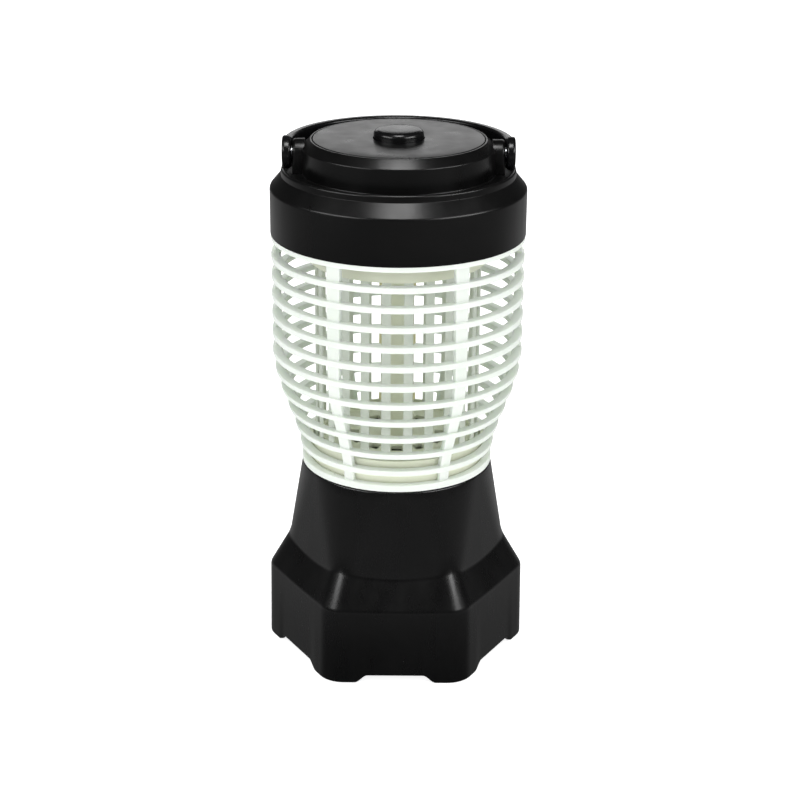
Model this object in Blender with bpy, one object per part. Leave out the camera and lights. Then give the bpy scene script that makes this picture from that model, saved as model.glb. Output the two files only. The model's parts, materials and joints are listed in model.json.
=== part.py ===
"""Portable electric bug zapper: battery base, twist-off grid head, cap with bail handle.

Lengths in this file are millimetres; MM turns them into Blender's metres.
The origin is on the ground under the vertical axis, +Z is up and the front faces -Y.
"""

from math import acos, atan2, ceil, cos, degrees, pi, radians, sin, sqrt, tan

import bmesh
import bpy
from mathutils import Matrix, Vector

MM = 0.001

# ---------------------------------------------------------------- driving dimensions
GAP = 0.3                      # clearance between pieces that touch
FACET_GAP = 0.8                # clearance between round walls with different facets
WALL = 2.4                     # moulded wall of the black shells

# base shell: a rounded hexagon with one flat face to the front, vertices at +X and -X
FOOT_APOTHEM = 59.2
SKIRT_APOTHEM = 58.5
FOOT_CORNER = 14.0
SKIRT_CORNER = 12.0
SKIRT_TOP = 38.6
NOTCH_HEIGHT = 4.0             # arch between two feet
NOTCH_FLAT = 14.2              # half width of the arch's flat part
NOTCH_END = 20.6               # half width where the foot reaches the ground
EDGE_ROUND = 0.6               # rounding of the lower edge
LEDGE_APOTHEM = 50.4           # where the sloping ledge meets the neck
LEDGE_VERTEX = 55.3
LEDGE_FACE_Z = 53.3
LEDGE_VERTEX_Z = 57.0
NECK_TOP = 100.0
NECK_TOP_RADIUS = 47.9

# battery compartment
CELL_RADIUS = 17.1
CELL_BODY = 60.0
CELL_NUB = 1.5
CELL_OFFSET = 18.0             # each cell's axis lies at (+-18, +-18)
CELL_BOTTOM = 15.9
DOOR_BOTTOM = 5.0
DOOR_RADIUS = 44.2
PLATE_BOTTOM = 6.0
PLATE_TOP = 9.0
PLATE_SCREW_RADIUS = 51.5
PLATE_SCREW_ANGLES = (90.0, 210.0, 330.0)
TAB_ANGLES = (0.0, 120.0, 240.0)
TAB_HALF = 12.0
DECK_BOTTOM = 82.0
DECK_TOP = 84.5
DECK_SCREW_RADIUS = 35.0

# twist lock between base and head
COLLAR_RADIUS = 40.2
LUG_RADIUS = 42.2
LUG_ANGLES = (30.0, 150.0, 270.0)
LUG_HALF = 13.0                # half angle of a lug, degrees
LEDGE_BOTTOM = 101.4
LEDGE_TOP = 104.1
COLLAR_TOP = 108.4
LOCK_TRAVEL = 30.0             # twist that frees the head, degrees

# cage
CAGE_BOTTOM = 100.5
BAND_BOTTOM_TOP = 104.0
CAGE_WIDE = 62.8
CAGE_NARROW = 48.4
RING_COUNT = 11
RING_PITCH = 9.81
RING_HEIGHT = 3.0
RING_LOWEST = 109.1
RING_DEPTH = 4.6
RIB_ANGLES = (0.0, 60.0, 120.0, 180.0, 240.0, 300.0)
RIB_RECESS = 1.3
SPIGOT_INNER = 58.6
BAND_TOP_BOTTOM = 217.6
CAP_EDGE = 222.4

# grid and light column
GRID_RADIUS = 41.0
STRIP_WIDTH = 4.5
STRIP_THICK = 0.8
STRIPS_EACH = 12
COLUMN_RADIUS = 8.0
LED_FACES = (90.0, 210.0, 330.0)
LED_HEIGHTS = (135.0, 165.0, 195.0)
SLOT_HALF = 7.0                # half angle of a slot in the cup's floor, degrees
FLOOR_TOP = 113.4
CUP_TOP = 115.2
CUP_RADIUS = 44.2
TOP_RING_EDGE = 206.7

# cap, lid, button and handle
CAP_RADIUS = 63.0
DRUM_RADIUS = 47.0
TERRACE_Z = 250.0
LID_TOP = 266.8
LID_RADIUS = 41.9
BUTTON_RADIUS = 12.3
BUTTON_TOP = 271.4
PIVOT_Z = 259.6
HANDLE_INNER = 52.2
HANDLE_OUTER = 56.6
HANDLE_HALF = 6.1
HANDLE_EYE = 8.0
PIN_RADIUS = 2.7
PIN_HEAD = 4.6
PIN_HEAD_FACE = 56.2
TOWER_RADIUS = 6.6
TOWER_REACH = 51.6
CAP_SCREW_RADIUS = 50.5
CAP_SCREW_ANGLES = (30.0, 150.0, 270.0)
SPIGOT_OUTER = CAP_RADIUS - WALL - 0.4

SEGMENTS = 36


# ---------------------------------------------------------------- scene and materials
for old in list(bpy.data.objects):
    bpy.data.objects.remove(old, do_unlink=True)


def make_material(name, colour, roughness, metallic=0.0):
    material = bpy.data.materials.new(name)
    material.use_nodes = True
    shader = material.node_tree.nodes["Principled BSDF"]
    shader.inputs["Base Color"].default_value = (*colour, 1.0)
    shader.inputs["Roughness"].default_value = roughness
    shader.inputs["Metallic"].default_value = metallic
    return material


BLACK = make_material("black_plastic", (0.012, 0.012, 0.013), 0.38)
GLOSS_BLACK = make_material("gloss_black_plastic", (0.008, 0.008, 0.009), 0.16)
MINT = make_material("mint_white_plastic", (0.80, 0.85, 0.78), 0.35)
CREAM = make_material("cream_plastic", (0.72, 0.73, 0.58), 0.42)
GRID_STEEL = make_material("grid_steel", (0.55, 0.58, 0.52), 0.30, 0.9)
ZINC = make_material("zinc_steel", (0.62, 0.63, 0.65), 0.32, 1.0)
BRASS = make_material("contact_brass", (0.72, 0.55, 0.24), 0.30, 1.0)
BOARD = make_material("circuit_board", (0.02, 0.16, 0.06), 0.45)
GREY = make_material("grey_plastic", (0.20, 0.21, 0.22), 0.50)
CELL_SKIN = make_material("cell_jacket", (0.05, 0.11, 0.28), 0.35)


# ---------------------------------------------------------------- mesh helpers
def add_object(name, bm, material, smooth_angle=35.0):
    """Scale a millimetre bmesh to metres and link it as one named object."""
    bmesh.ops.scale(bm, vec=Vector((MM, MM, MM)), verts=bm.verts)
    mesh = bpy.data.meshes.new(name)
    bm.to_mesh(mesh)
    bm.free()
    mesh.materials.append(material)
    mesh.shade_smooth()
    mesh.set_sharp_from_angle(angle=radians(smooth_angle))
    piece = bpy.data.objects.new(name, mesh)
    bpy.context.scene.collection.objects.link(piece)
    return piece


def polar(radius, angle, height):
    return Vector((radius * cos(radians(angle)), radius * sin(radians(angle)), height))


def build_faces(faces):
    """A bmesh from faces given as lists of points; equal points become one vertex."""
    bm = bmesh.new()
    known = {}
    for points in faces:
        corners = []
        for point in points:
            key = tuple(round(value, 5) for value in point)
            if key not in known:
                known[key] = bm.verts.new(point)
            if known[key] not in corners:
                corners.append(known[key])
        if len(corners) >= 3:
            bm.faces.new(corners)
    return bm


def fillet(outline, steps=3):
    """Round the corners of a closed outline of (u, v) or (u, v, radius) points."""
    result = []
    count = len(outline)
    for index, corner in enumerate(outline):
        radius = corner[2] if len(corner) > 2 else 0.0
        here = Vector(corner[:2])
        if radius == 0.0:
            result.append(tuple(here))
            continue
        back = (Vector(outline[index - 1][:2]) - here).normalized()
        ahead = (Vector(outline[(index + 1) % count][:2]) - here).normalized()
        half = acos(max(-1.0, min(1.0, back.dot(ahead)))) / 2
        centre = here + (back + ahead).normalized() * radius / sin(half)
        start = here + back * radius / tan(half) - centre
        end = here + ahead * radius / tan(half) - centre
        turn = atan2(start.cross(end), start.dot(end))
        for step in range(steps + 1):
            angle = turn * step / steps
            arm = Vector((start.x * cos(angle) - start.y * sin(angle),
                          start.x * sin(angle) + start.y * cos(angle)))
            result.append(tuple(centre + arm))
    return result


def turned(name, outline, material, segments=SEGMENTS, centre=(0.0, 0.0), steps=3):
    """A turned solid; its (radius, height) outline runs counter-clockwise."""
    profile = fillet(outline, steps)
    faces = []
    for segment in range(segments):
        first = 360.0 * segment / segments
        second = 360.0 * ((segment + 1) % segments) / segments
        for (r0, z0), (r1, z1) in zip(profile, profile[1:] + profile[:1]):
            if r0 == 0.0 and r1 == 0.0:
                continue
            faces.append([polar(r0, first, z0), polar(r0, second, z0),
                          polar(r1, second, z1), polar(r1, first, z1)])
    bm = build_faces(faces)
    bmesh.ops.translate(bm, vec=Vector((*centre, 0.0)), verts=bm.verts)
    return add_object(name, bm, material)


def cell_solid(name, counts, corner, filled, material):
    """A solid made of the filled cells of a grid wrapped round the Z axis.

    counts is (cells round, layers outward, levels up), corner(i, k, l) gives a grid
    point, and filled(i, k, l) says whether the cell from that point onward is solid.
    """
    around, layers, levels = counts

    def solid(i, k, l):
        return 0 <= k < layers and 0 <= l < levels and filled(i % around, k, l)

    faces = []
    for i in range(around):
        for k in range(layers):
            for l in range(levels):
                if not solid(i, k, l):
                    continue
                low, high = [[corner(i, k, level), corner(i, k + 1, level),
                              corner((i + 1) % around, k + 1, level),
                              corner((i + 1) % around, k, level)] for level in (l, l + 1)]
                sides = ((solid(i, k, l - 1), low[::-1]),
                         (solid(i, k, l + 1), high),
                         (solid(i - 1, k, l), [low[0], low[1], high[1], high[0]]),
                         (solid(i, k + 1, l), [low[1], low[2], high[2], high[1]]),
                         (solid(i + 1, k, l), [low[2], low[3], high[3], high[2]]),
                         (solid(i, k - 1, l), [low[3], low[0], high[0], high[3]]))
                faces += [points for covered, points in sides if not covered]
    bm = build_faces(faces)
    bm.normal_update()
    bmesh.ops.dissolve_limit(bm, angle_limit=radians(0.2), verts=bm.verts, edges=bm.edges)
    return add_object(name, bm, material)


def polar_solid(name, angles, radii, levels, filled, material):
    """A cell_solid with given angles and levels; radii(k, angle) is each boundary."""
    layers, boundary = radii
    counts = (len(angles), layers, len(levels) - 1)

    def corner(i, k, l):
        return polar(boundary(k, angles[i]), angles[i], levels[l])

    return cell_solid(name, counts, corner, filled, material)


def fixed_radii(*values):
    """Constant radial boundaries for polar_solid."""
    return len(values) - 1, lambda k, angle: values[k]


def spread(edges, largest):
    """Angles round the circle that hold every edge, no step above the largest."""
    marks = sorted({round(edge % 360.0, 4) for edge in edges})
    result = []
    for index, mark in enumerate(marks):
        following = marks[(index + 1) % len(marks)]
        span = (following - mark) % 360.0 or 360.0
        pieces = ceil(span / largest - 1e-6)
        result += [mark + span * piece / pieces for piece in range(pieces)]
    return result


def within(angle, centres, half):
    """Whether an angle lies within half of one of the centres, in degrees."""
    return any(abs((angle - centre + 180.0) % 360.0 - 180.0) < half for centre in centres)


def middle(angles, i):
    """The angle half way along the cell that starts at index i."""
    following = angles[(i + 1) % len(angles)]
    return angles[i] + ((following - angles[i]) % 360.0) / 2


def prism(name, outline, low, high, material, axes="XYZ"):
    """Extrude a counter-clockwise outline; axes names where u, v and the length go."""
    order = ["XYZ".index(letter) for letter in axes]

    def place(point, height):
        values = [0.0, 0.0, 0.0]
        for slot, value in zip(order, (*point, height)):
            values[slot] = value
        return Vector(values)

    bottom = [place(point, low) for point in outline]
    top = [place(point, high) for point in outline]
    faces = [bottom[::-1], top]
    for i in range(len(outline)):
        j = (i + 1) % len(outline)
        faces.append([bottom[i], bottom[j], top[j], top[i]])
    bm = build_faces(faces)
    bmesh.ops.recalc_face_normals(bm, faces=bm.faces)
    return add_object(name, bm, material)


def circle_outline(radius, sides, centre=(0.0, 0.0)):
    turns = [2 * pi * (i + 0.5) / sides for i in range(sides)]
    return [(centre[0] + radius * cos(turn), centre[1] + radius * sin(turn)) for turn in turns]


def rectangle(x0, y0, x1, y1):
    return [(x0, y0), (x1, y0), (x1, y1), (x0, y1)]


def combine(target, tool, operation):
    """Cut a tool out of a target, or join it on, and keep the tool as a guide."""
    tool.hide_render = True
    tool.display_type = "WIRE"
    boolean = target.modifiers.new(tool.name, "BOOLEAN")
    boolean.operation = operation
    boolean.solver = "EXACT"
    boolean.object = tool


def coil_spring(name, centre, low, high, low_radius, high_radius, turns, wire, material):
    """A helical wire spring whose coil radius may taper from end to end."""
    steps, sides = int(turns * 10), 5
    rings = []
    for step in range(steps + 1):
        part = step / steps
        angle = 2 * pi * turns * part
        coil = low_radius + (high_radius - low_radius) * part
        height = low + wire + (high - low - 2 * wire) * part
        ring = []
        for side in range(sides):
            turn = 2 * pi * side / sides
            reach = coil + wire * cos(turn)
            ring.append(Vector((centre[0] + reach * cos(angle), centre[1] + reach * sin(angle),
                                height + wire * sin(turn))))
        rings.append(ring)
    faces = [rings[0], rings[-1][::-1]]
    for below, above in zip(rings, rings[1:]):
        for side in range(sides):
            following = (side + 1) % sides
            faces.append([below[side], above[side], above[following], below[following]])
    bm = build_faces(faces)
    bmesh.ops.recalc_face_normals(bm, faces=bm.faces)
    return add_object(name, bm, material)


def screw(name, centre, head_low, head_high, tip, material=ZINC, head=2.8, shank=1.4):
    """A pan head screw along Z; the tip may lie above or below the head."""
    if tip > head_high:
        outline = [(0.0, head_low), (head, head_low, 0.6), (head, head_high), (shank, head_high),
                   (shank, tip - 1.5), (0.0, tip)]
    else:
        outline = [(0.0, tip), (shank, tip + 1.5), (shank, head_low), (head, head_low),
                   (head, head_high, 0.6), (0.0, head_high)]
    return turned(name, outline, material, segments=10, centre=centre, steps=1)


# ---------------------------------------------------------------- base shell
def hexagon_radius(apothem, corner, angle):
    """Radius of a rounded hexagon with vertices at 0, 60, ... degrees."""
    from_face = abs((angle % 60.0) - 30.0)
    flat_half = (apothem - corner) * tan(radians(30.0))
    if apothem * tan(radians(from_face)) <= flat_half:
        return apothem / cos(radians(from_face))
    arm = (apothem - corner) / cos(radians(30.0))
    offset = radians(30.0 - from_face)
    return arm * cos(offset) + sqrt(corner ** 2 - (arm * sin(offset)) ** 2)


def foot_height(angle):
    """Height of the shell's lower edge: raised in the middle of a face, on the ground at a corner."""
    from_face = (angle % 60.0) - 30.0
    across = abs(FOOT_APOTHEM * tan(radians(from_face)))
    part = (across - NOTCH_FLAT) / (NOTCH_END - NOTCH_FLAT)
    part = max(0.0, min(1.0, part))
    return NOTCH_HEIGHT * (1.0 - part * part * (3 - 2 * part))


def foot_inside(angle, gap=0.0):
    """Radius of the shell's inner side at foot level, less a gap."""
    return hexagon_radius(FOOT_APOTHEM - WALL - gap, FOOT_CORNER - WALL, angle)


def neck_section(height):
    """Apothem and corner radius of the neck, which turns from hexagon to circle."""
    up = (height - LEDGE_FACE_Z) / (NECK_TOP - LEDGE_FACE_Z)
    apothem = LEDGE_APOTHEM + (NECK_TOP_RADIUS - LEDGE_APOTHEM) * up
    vertex_up = (height - LEDGE_VERTEX_Z) / (NECK_TOP - LEDGE_VERTEX_Z)
    vertex = LEDGE_VERTEX + (NECK_TOP_RADIUS + 0.35 - LEDGE_VERTEX) * vertex_up
    sharpness = 1 / cos(radians(30.0)) - 1
    corner = apothem - (vertex - apothem) / sharpness
    return apothem, corner


def vertex_share(angle):
    """0 in the middle of a face, 1 at a vertex."""
    return (abs((angle % 60.0) - 30.0) / 30.0) ** 2


def shell_angles():
    """Angles that catch the corners and the arches of the base shell."""
    edges = []
    for vertex in range(0, 360, 60):
        edges += [vertex, vertex + 30] + [vertex + d for d in (-6.0, -3.0, 3.0, 6.0)]
        for across in (NOTCH_FLAT, (NOTCH_FLAT + NOTCH_END) / 2, NOTCH_END):
            from_face = degrees(atan2(across, FOOT_APOTHEM))
            edges += [vertex + 30 - from_face, vertex + 30 + from_face]
    return spread(edges, 10.0)


def base_shell():
    """The hexagonal housing: feet, skirt, sloping ledge and neck, open at both ends."""
    angles = shell_angles()

    def loop(apothem, corner, height):
        return [polar(hexagon_radius(apothem, corner, a), a, height(a)) for a in angles]

    def neck_loop(height, inset=0.0):
        apothem, corner = neck_section(height)
        return loop(apothem - inset, corner - inset, lambda a: height)

    def ledge_loop(inset=0.0, drop=0.0):
        corner = neck_section(LEDGE_FACE_Z)[1]
        rise = LEDGE_VERTEX_Z - LEDGE_FACE_Z
        return loop(LEDGE_APOTHEM - inset, corner - inset,
                    lambda a: LEDGE_FACE_Z - drop + rise * vertex_share(a))

    loops = [
        loop(FOOT_APOTHEM - EDGE_ROUND, FOOT_CORNER - EDGE_ROUND, foot_height),
        loop(FOOT_APOTHEM, FOOT_CORNER, lambda a: foot_height(a) + EDGE_ROUND),
        loop(SKIRT_APOTHEM, SKIRT_CORNER, lambda a: SKIRT_TOP),
        loop(SKIRT_APOTHEM - 0.6, SKIRT_CORNER - 0.3, lambda a: SKIRT_TOP + 1.4 + vertex_share(a)),
        ledge_loop(),
        neck_loop(62.0), neck_loop(75.0), neck_loop(88.0), neck_loop(NECK_TOP),
        neck_loop(NECK_TOP, WALL), neck_loop(80.0, WALL), neck_loop(62.0, WALL),
        ledge_loop(WALL, 1.2),
        loop(SKIRT_APOTHEM - WALL, SKIRT_CORNER - WALL, lambda a: SKIRT_TOP - 1.0),
        [polar(foot_inside(a), a, foot_height(a)) for a in angles],
    ]
    faces = []
    for below, above in zip(loops, loops[1:] + loops[:1]):
        for i in range(len(angles)):
            j = (i + 1) % len(angles)
            faces.append([below[i], below[j], above[j], above[i]])
    shell = add_object("base_shell", build_faces(faces), BLACK)

    for index, angle in enumerate(PLATE_SCREW_ANGLES):
        spot = polar(PLATE_SCREW_RADIUS, angle, 0.0)
        boss = prism(f"guide_boss_{index}", circle_outline(6.0, 16, spot[:2]), 9.4, 34.0, BLACK)
        bore = prism(f"guide_boss_bore_{index}", circle_outline(1.9, 12, spot[:2]), 5.0, 27.0, BLACK)
        combine(shell, boss, "UNION")
        combine(shell, bore, "DIFFERENCE")
    for index, side in enumerate((-1, 1)):
        reach = sorted((side * 31.0, side * (NECK_TOP_RADIUS + 0.2)))
        post = prism(f"guide_post_{index}", rectangle(-3.5, reach[0], 3.5, reach[1]),
                     62.0, DECK_BOTTOM - GAP, BLACK)
        bore = prism(f"guide_post_bore_{index}",
                     circle_outline(1.9, 12, (0.0, side * DECK_SCREW_RADIUS)), 67.0, 90.0, BLACK)
        combine(shell, post, "UNION")
        combine(shell, bore, "DIFFERENCE")
    return shell


# ---------------------------------------------------------------- bottom closure
def base_plate():
    """Hexagonal floor plate with the bayonet opening for the battery door."""
    notches = [a + LOCK_TRAVEL + d for a in TAB_ANGLES for d in (-14.0, 14.0)]
    angles = spread(shell_angles() + notches, 10.0)

    def boundary(k, angle):
        return (DOOR_RADIUS + 0.4, 48.2, foot_inside(angle, FACET_GAP))[k]

    def filled(i, k, l):
        return k == 1 or not within(middle(angles, i), [a + LOCK_TRAVEL for a in TAB_ANGLES], 14.0)

    plate = polar_solid("base_plate", angles, (2, boundary), [PLATE_BOTTOM, PLATE_TOP], filled, BLACK)
    for index, angle in enumerate(PLATE_SCREW_ANGLES):
        spot = polar(PLATE_SCREW_RADIUS, angle, 0.0)
        bore = prism(f"guide_plate_bore_{index}", circle_outline(1.9, 12, spot[:2]), 4.0, 11.0, BLACK)
        combine(plate, bore, "DIFFERENCE")
        screw(f"base_screw_{index + 1}", spot[:2], 4.0, PLATE_BOTTOM - GAP, 24.0)
    return plate


def battery_door():
    """Round twist door: disc, raised rim, three bayonet tabs and a finger bar."""
    angles = spread([a + d for a in TAB_ANGLES for d in (-TAB_HALF, TAB_HALF)], 7.5)
    levels = [DOOR_BOTTOM, 8.0, PLATE_TOP + 0.4, 11.4]

    def filled(i, k, l):
        if k == 2:
            return l == 2 and within(middle(angles, i), TAB_ANGLES, TAB_HALF)
        return l == 0 or k == 1

    door = polar_solid("battery_door", angles, fixed_radii(0.0, 41.8, DOOR_RADIUS, 47.6),
                       levels, filled, BLACK)
    bar = prism("guide_door_bar", rectangle(-16.0, -2.5, 16.0, 2.5), 2.4, 6.0, BLACK)
    combine(door, bar, "UNION")
    return door


# ---------------------------------------------------------------- batteries and contacts
CELL_SPOTS = ((CELL_OFFSET, CELL_OFFSET), (-CELL_OFFSET, CELL_OFFSET),
              (-CELL_OFFSET, -CELL_OFFSET), (CELL_OFFSET, -CELL_OFFSET))
NUB_DOWN_PAD = CELL_BOTTOM - CELL_NUB - GAP            # top face of a lower plus contact
NUB_UP_PAD = CELL_BOTTOM + CELL_BODY + CELL_NUB + GAP  # lower face of an upper plus contact
LINK_LOW = 10.0
LINK_HIGH = DECK_BOTTOM - GAP
STRAP = 0.6


def batteries():
    """Four round cells stand upright, every second one upside down."""
    low, high = CELL_BOTTOM, CELL_BOTTOM + CELL_BODY
    for index, spot in enumerate(CELL_SPOTS):
        outline = [(0.0, low), (CELL_RADIUS, low, 1.2), (CELL_RADIUS, high, 1.2), (5.0, high),
                   (5.0, high + CELL_NUB, 0.4), (0.0, high + CELL_NUB)]
        if index % 2:
            outline = [(r[0], low + high - r[1], *r[2:]) for r in reversed(outline)]
        turned(f"battery_cell_{index + 1}", outline, CELL_SKIN, segments=18, centre=spot, steps=1)


def cell_divider():
    """Cross-shaped wall that keeps the four cells apart."""
    arm, half = 40.0, 0.55
    inner_arm_y = DECK_SCREW_RADIUS - 5.5
    outline = [(half, half), (arm, half), (arm, -half), (half, -half), (half, -inner_arm_y),
               (-half, -inner_arm_y), (-half, -half), (-arm, -half), (-arm, half), (-half, half),
               (-half, inner_arm_y), (half, inner_arm_y)]
    prism("cell_divider", outline[::-1], CELL_BOTTOM, 76.0, GREY)


def strap_outline(stations, thickness):
    """Side view of a bent strap from its lower face's (x, z) stations."""
    return stations + [(x, z + thickness) for x, z in reversed(stations)]


def battery_contacts():
    """Contact disc, straps and springs that join the four cells in series."""
    turned("contact_disc", [(0.0, 8.3), (41.2, 8.3), (41.2, LINK_LOW - GAP), (0.0, LINK_LOW - GAP)], GREY)
    offset, pad = CELL_OFFSET, 6.0
    low_pad = NUB_DOWN_PAD - STRAP
    for label, side in (("front", -1), ("rear", 1)):
        lead = -side * 1
        stations = [(-lead * (offset + pad), LINK_LOW), (-lead * (offset - pad), LINK_LOW),
                    (lead * (offset - pad), low_pad), (lead * (offset + pad), low_pad)]
        prism(f"lower_link_{label}", strap_outline(stations, STRAP),
              side * offset - 4.0, side * offset + 4.0, BRASS, axes="XZY")
    low_step = LINK_HIGH - STRAP
    stations = [(-offset - pad, NUB_UP_PAD), (-offset + pad, NUB_UP_PAD),
                (offset - pad, low_step), (offset + pad, low_step)]
    prism("upper_link", strap_outline(stations, STRAP), -offset - 4.0, -offset + 4.0,
          BRASS, axes="YZX")
    for name, spot, height in (("positive_contact", CELL_SPOTS[0], NUB_UP_PAD),
                               ("negative_contact", CELL_SPOTS[3], low_step)):
        prism(name, rectangle(spot[0] - 5.0, spot[1] - 5.0, spot[0] + 5.0, spot[1] + 5.0),
              height, height + STRAP, BRASS)
    upright = (CELL_SPOTS[0], CELL_SPOTS[2])
    inverted = (CELL_SPOTS[1], CELL_SPOTS[3])
    for index, spot in enumerate(upright):
        coil_spring(f"lower_spring_{index + 1}", spot, LINK_LOW + STRAP + GAP, CELL_BOTTOM - GAP,
                    6.0, 3.6, 2.5, 0.45, ZINC)
    for index, spot in enumerate(inverted):
        coil_spring(f"upper_spring_{index + 1}", spot, CELL_BOTTOM + CELL_BODY + GAP,
                    low_step - GAP, 3.6, 6.0, 2.5, 0.45, ZINC)


# ---------------------------------------------------------------- deck, lock and tray
def base_deck():
    """Deck over the cells with the collar that carries the bayonet lugs and stops."""
    stops = [a + d for a in LUG_ANGLES for d in (-17.2, 47.2)]
    edges = [a + d for a in LUG_ANGLES for d in (-LUG_HALF, LUG_HALF)]
    edges += [a + d for a in stops for d in (-1.4, 1.4)]
    angles = spread(edges, 7.5)
    levels = [DECK_BOTTOM, DECK_TOP, LEDGE_BOTTOM, LEDGE_TOP, 104.6, 107.2, COLLAR_TOP]

    def filled(i, k, l):
        angle = middle(angles, i)
        if l == 0:
            return True
        if k == 2 and l == 2:
            return within(angle, stops, 1.4)
        if k == 2 and l == 4:
            return within(angle, LUG_ANGLES, LUG_HALF)
        return k == 1

    radii = fixed_radii(3.2, COLLAR_RADIUS - 1.8, COLLAR_RADIUS, LUG_RADIUS, 45.6)
    deck = polar_solid("base_deck", angles, radii, levels, filled, BLACK)
    for index, side in enumerate((-1, 1)):
        spot = (0.0, side * DECK_SCREW_RADIUS)
        bore = prism(f"guide_deck_bore_{index}", circle_outline(1.9, 12, spot), 80.0, 90.0, BLACK)
        combine(deck, bore, "DIFFERENCE")
        screw(f"deck_screw_{index + 1}", spot, DECK_TOP + GAP, 86.4, 69.0)


def power_column():
    """Centre post with a sleeve and a pin that feed the head at any twist angle."""
    turned("center_post", [(4.4, DECK_TOP + GAP), (8.0, DECK_TOP + GAP), (8.0, 107.2), (4.4, 107.2)],
           BLACK, segments=24)
    turned("contact_sleeve", [(2.8, 88.0), (4.0, 88.0), (4.0, 108.3, 0.3), (2.8, 108.3)],
           BRASS, segments=16, steps=1)
    turned("contact_pin", [(0.0, 86.0), (1.3, 86.0), (1.3, 109.7, 0.5), (0.0, 109.7)],
           BRASS, segments=12)


def bug_tray():
    """Ring-shaped tray that catches what falls through the grid floor."""
    turned("bug_tray", [(8.4, 87.0), (37.6, 87.0, 1.0), (37.8, 102.0), (36.4, 102.0),
                        (36.2, 88.4, 0.8), (9.8, 88.4, 0.8), (9.8, 102.0), (8.4, 102.0)],
           CREAM, steps=1)


# ---------------------------------------------------------------- cage
def cage_radius(height):
    """Outer radius of the cage: straight above, drawn in to the neck below."""
    part = max(0.0, min(1.0, (height - 101.8) / 59.5))
    return CAGE_NARROW + (CAGE_WIDE - CAGE_NARROW) * part * part * (3 - 2 * part)


def rib_half_width(height):
    """Half width of a rib, a little wider towards the cap."""
    return 2.7 + 1.1 * (height - CAGE_BOTTOM) / (CAP_EDGE - CAGE_BOTTOM)


def outer_cage():
    """Cage of eleven rings on six ribs between a lower and an upper band."""
    levels = [CAGE_BOTTOM, BAND_BOTTOM_TOP]
    for ring in range(RING_COUNT):
        low = RING_LOWEST + RING_PITCH * ring
        levels += [low, low + RING_HEIGHT]
    levels += [BAND_TOP_BOTTOM, CAP_EDGE - GAP, CAP_EDGE + 5.0]
    last = len(levels) - 1
    marks = []
    for rib in RIB_ANGLES:
        marks += [(rib, -1), (rib, 1)]
        marks += [(rib + 7.0 + 46.0 * step / 3, 0) for step in range(4)]

    def direction(mark, height):
        angle, side = mark
        return angle + side * degrees(rib_half_width(height) / cage_radius(height))

    def boundary(k, l):
        outer = cage_radius(levels[l])
        inner = max(outer - RING_DEPTH, CUP_RADIUS + FACET_GAP)
        if l <= 1:
            inner = CUP_RADIUS + FACET_GAP
        elif l >= last - 2:
            inner = SPIGOT_INNER
        split = SPIGOT_OUTER if l >= last - 1 else outer - RIB_RECESS
        return (inner, split, outer)[k]

    def corner(i, k, l):
        return polar(boundary(k, l), direction(marks[i], levels[l]), levels[l])

    def filled(i, k, l):
        if l == last - 1:
            return k == 0
        is_ring = l % 2 == 0 or l == last - 2
        return is_ring or (k == 0 and marks[i][1] == -1)

    return cell_solid("outer_cage", (len(marks), 2, last), corner, filled, MINT)


# ---------------------------------------------------------------- grid, cup and light column
def grid_base():
    """Cup under the grid: slotted floor, groove for the lower ring, bayonet ledges."""
    slots = [30.0 * slot for slot in range(12)]
    edges = [a + d for a in slots for d in (-SLOT_HALF, SLOT_HALF)]
    edges += [a + d for a in LUG_ANGLES for d in (-15.0, 15.0)]
    angles = spread(edges, 10.0)
    levels = [LEDGE_BOTTOM + 0.1, LEDGE_TOP, 109.6, 111.4, FLOOR_TOP, CUP_TOP]

    def filled(i, k, l):
        angle = middle(angles, i)
        if k == 6:
            return True
        if k in (4, 5) and l == 2:
            return True
        if k == 5 and l == 0:
            return within(angle, LUG_ANGLES, 15.0)
        if k == 3:
            return l >= 2
        return l == 3 and (k in (0, 2) or (k == 1 and not within(angle, slots, SLOT_HALF)))

    radii = fixed_radii(2.6, 19.5, 25.5, 37.8, 39.0, COLLAR_RADIUS + 0.4, LUG_RADIUS + 0.5, CUP_RADIUS)
    return polar_solid("grid_base", angles, radii, levels, filled, CREAM)


def grid_cap():
    """Upper ring that holds the hanging strips in its groove."""
    top, roof = 216.9, 214.6
    turned("grid_cap", [(3.2, roof), (37.6, roof), (37.6, 208.4), (38.8, 208.4), (38.8, roof),
                        (42.8, roof), (42.8, TOP_RING_EDGE), (CUP_RADIUS, TOP_RING_EDGE),
                        (CUP_RADIUS, top), (3.2, top)], CREAM)


def electrode(name, first_angle, ring_low, ring_high, strip_low, strip_high):
    """A ring with twelve flat strips; strips reach from the ring to their free ends."""
    half = degrees(STRIP_WIDTH / 2 / GRID_RADIUS)
    pitch = 360.0 / STRIPS_EACH
    centres = [first_angle + pitch * strip for strip in range(STRIPS_EACH)]
    angles = spread([c + d for c in centres for d in (-half, half)], 12.0)
    levels = sorted({ring_low, ring_high, strip_low, strip_high})
    ring_level = levels.index(ring_low)

    def filled(i, k, l):
        if l == ring_level:
            return True
        return k == 1 and within(middle(angles, i), centres, half)

    inner = GRID_RADIUS - STRIP_THICK / 2
    radii = fixed_radii(inner - 0.4, inner, inner + STRIP_THICK, inner + STRIP_THICK + 0.4)
    return polar_solid(name, angles, radii, levels, filled, GRID_STEEL)


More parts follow.
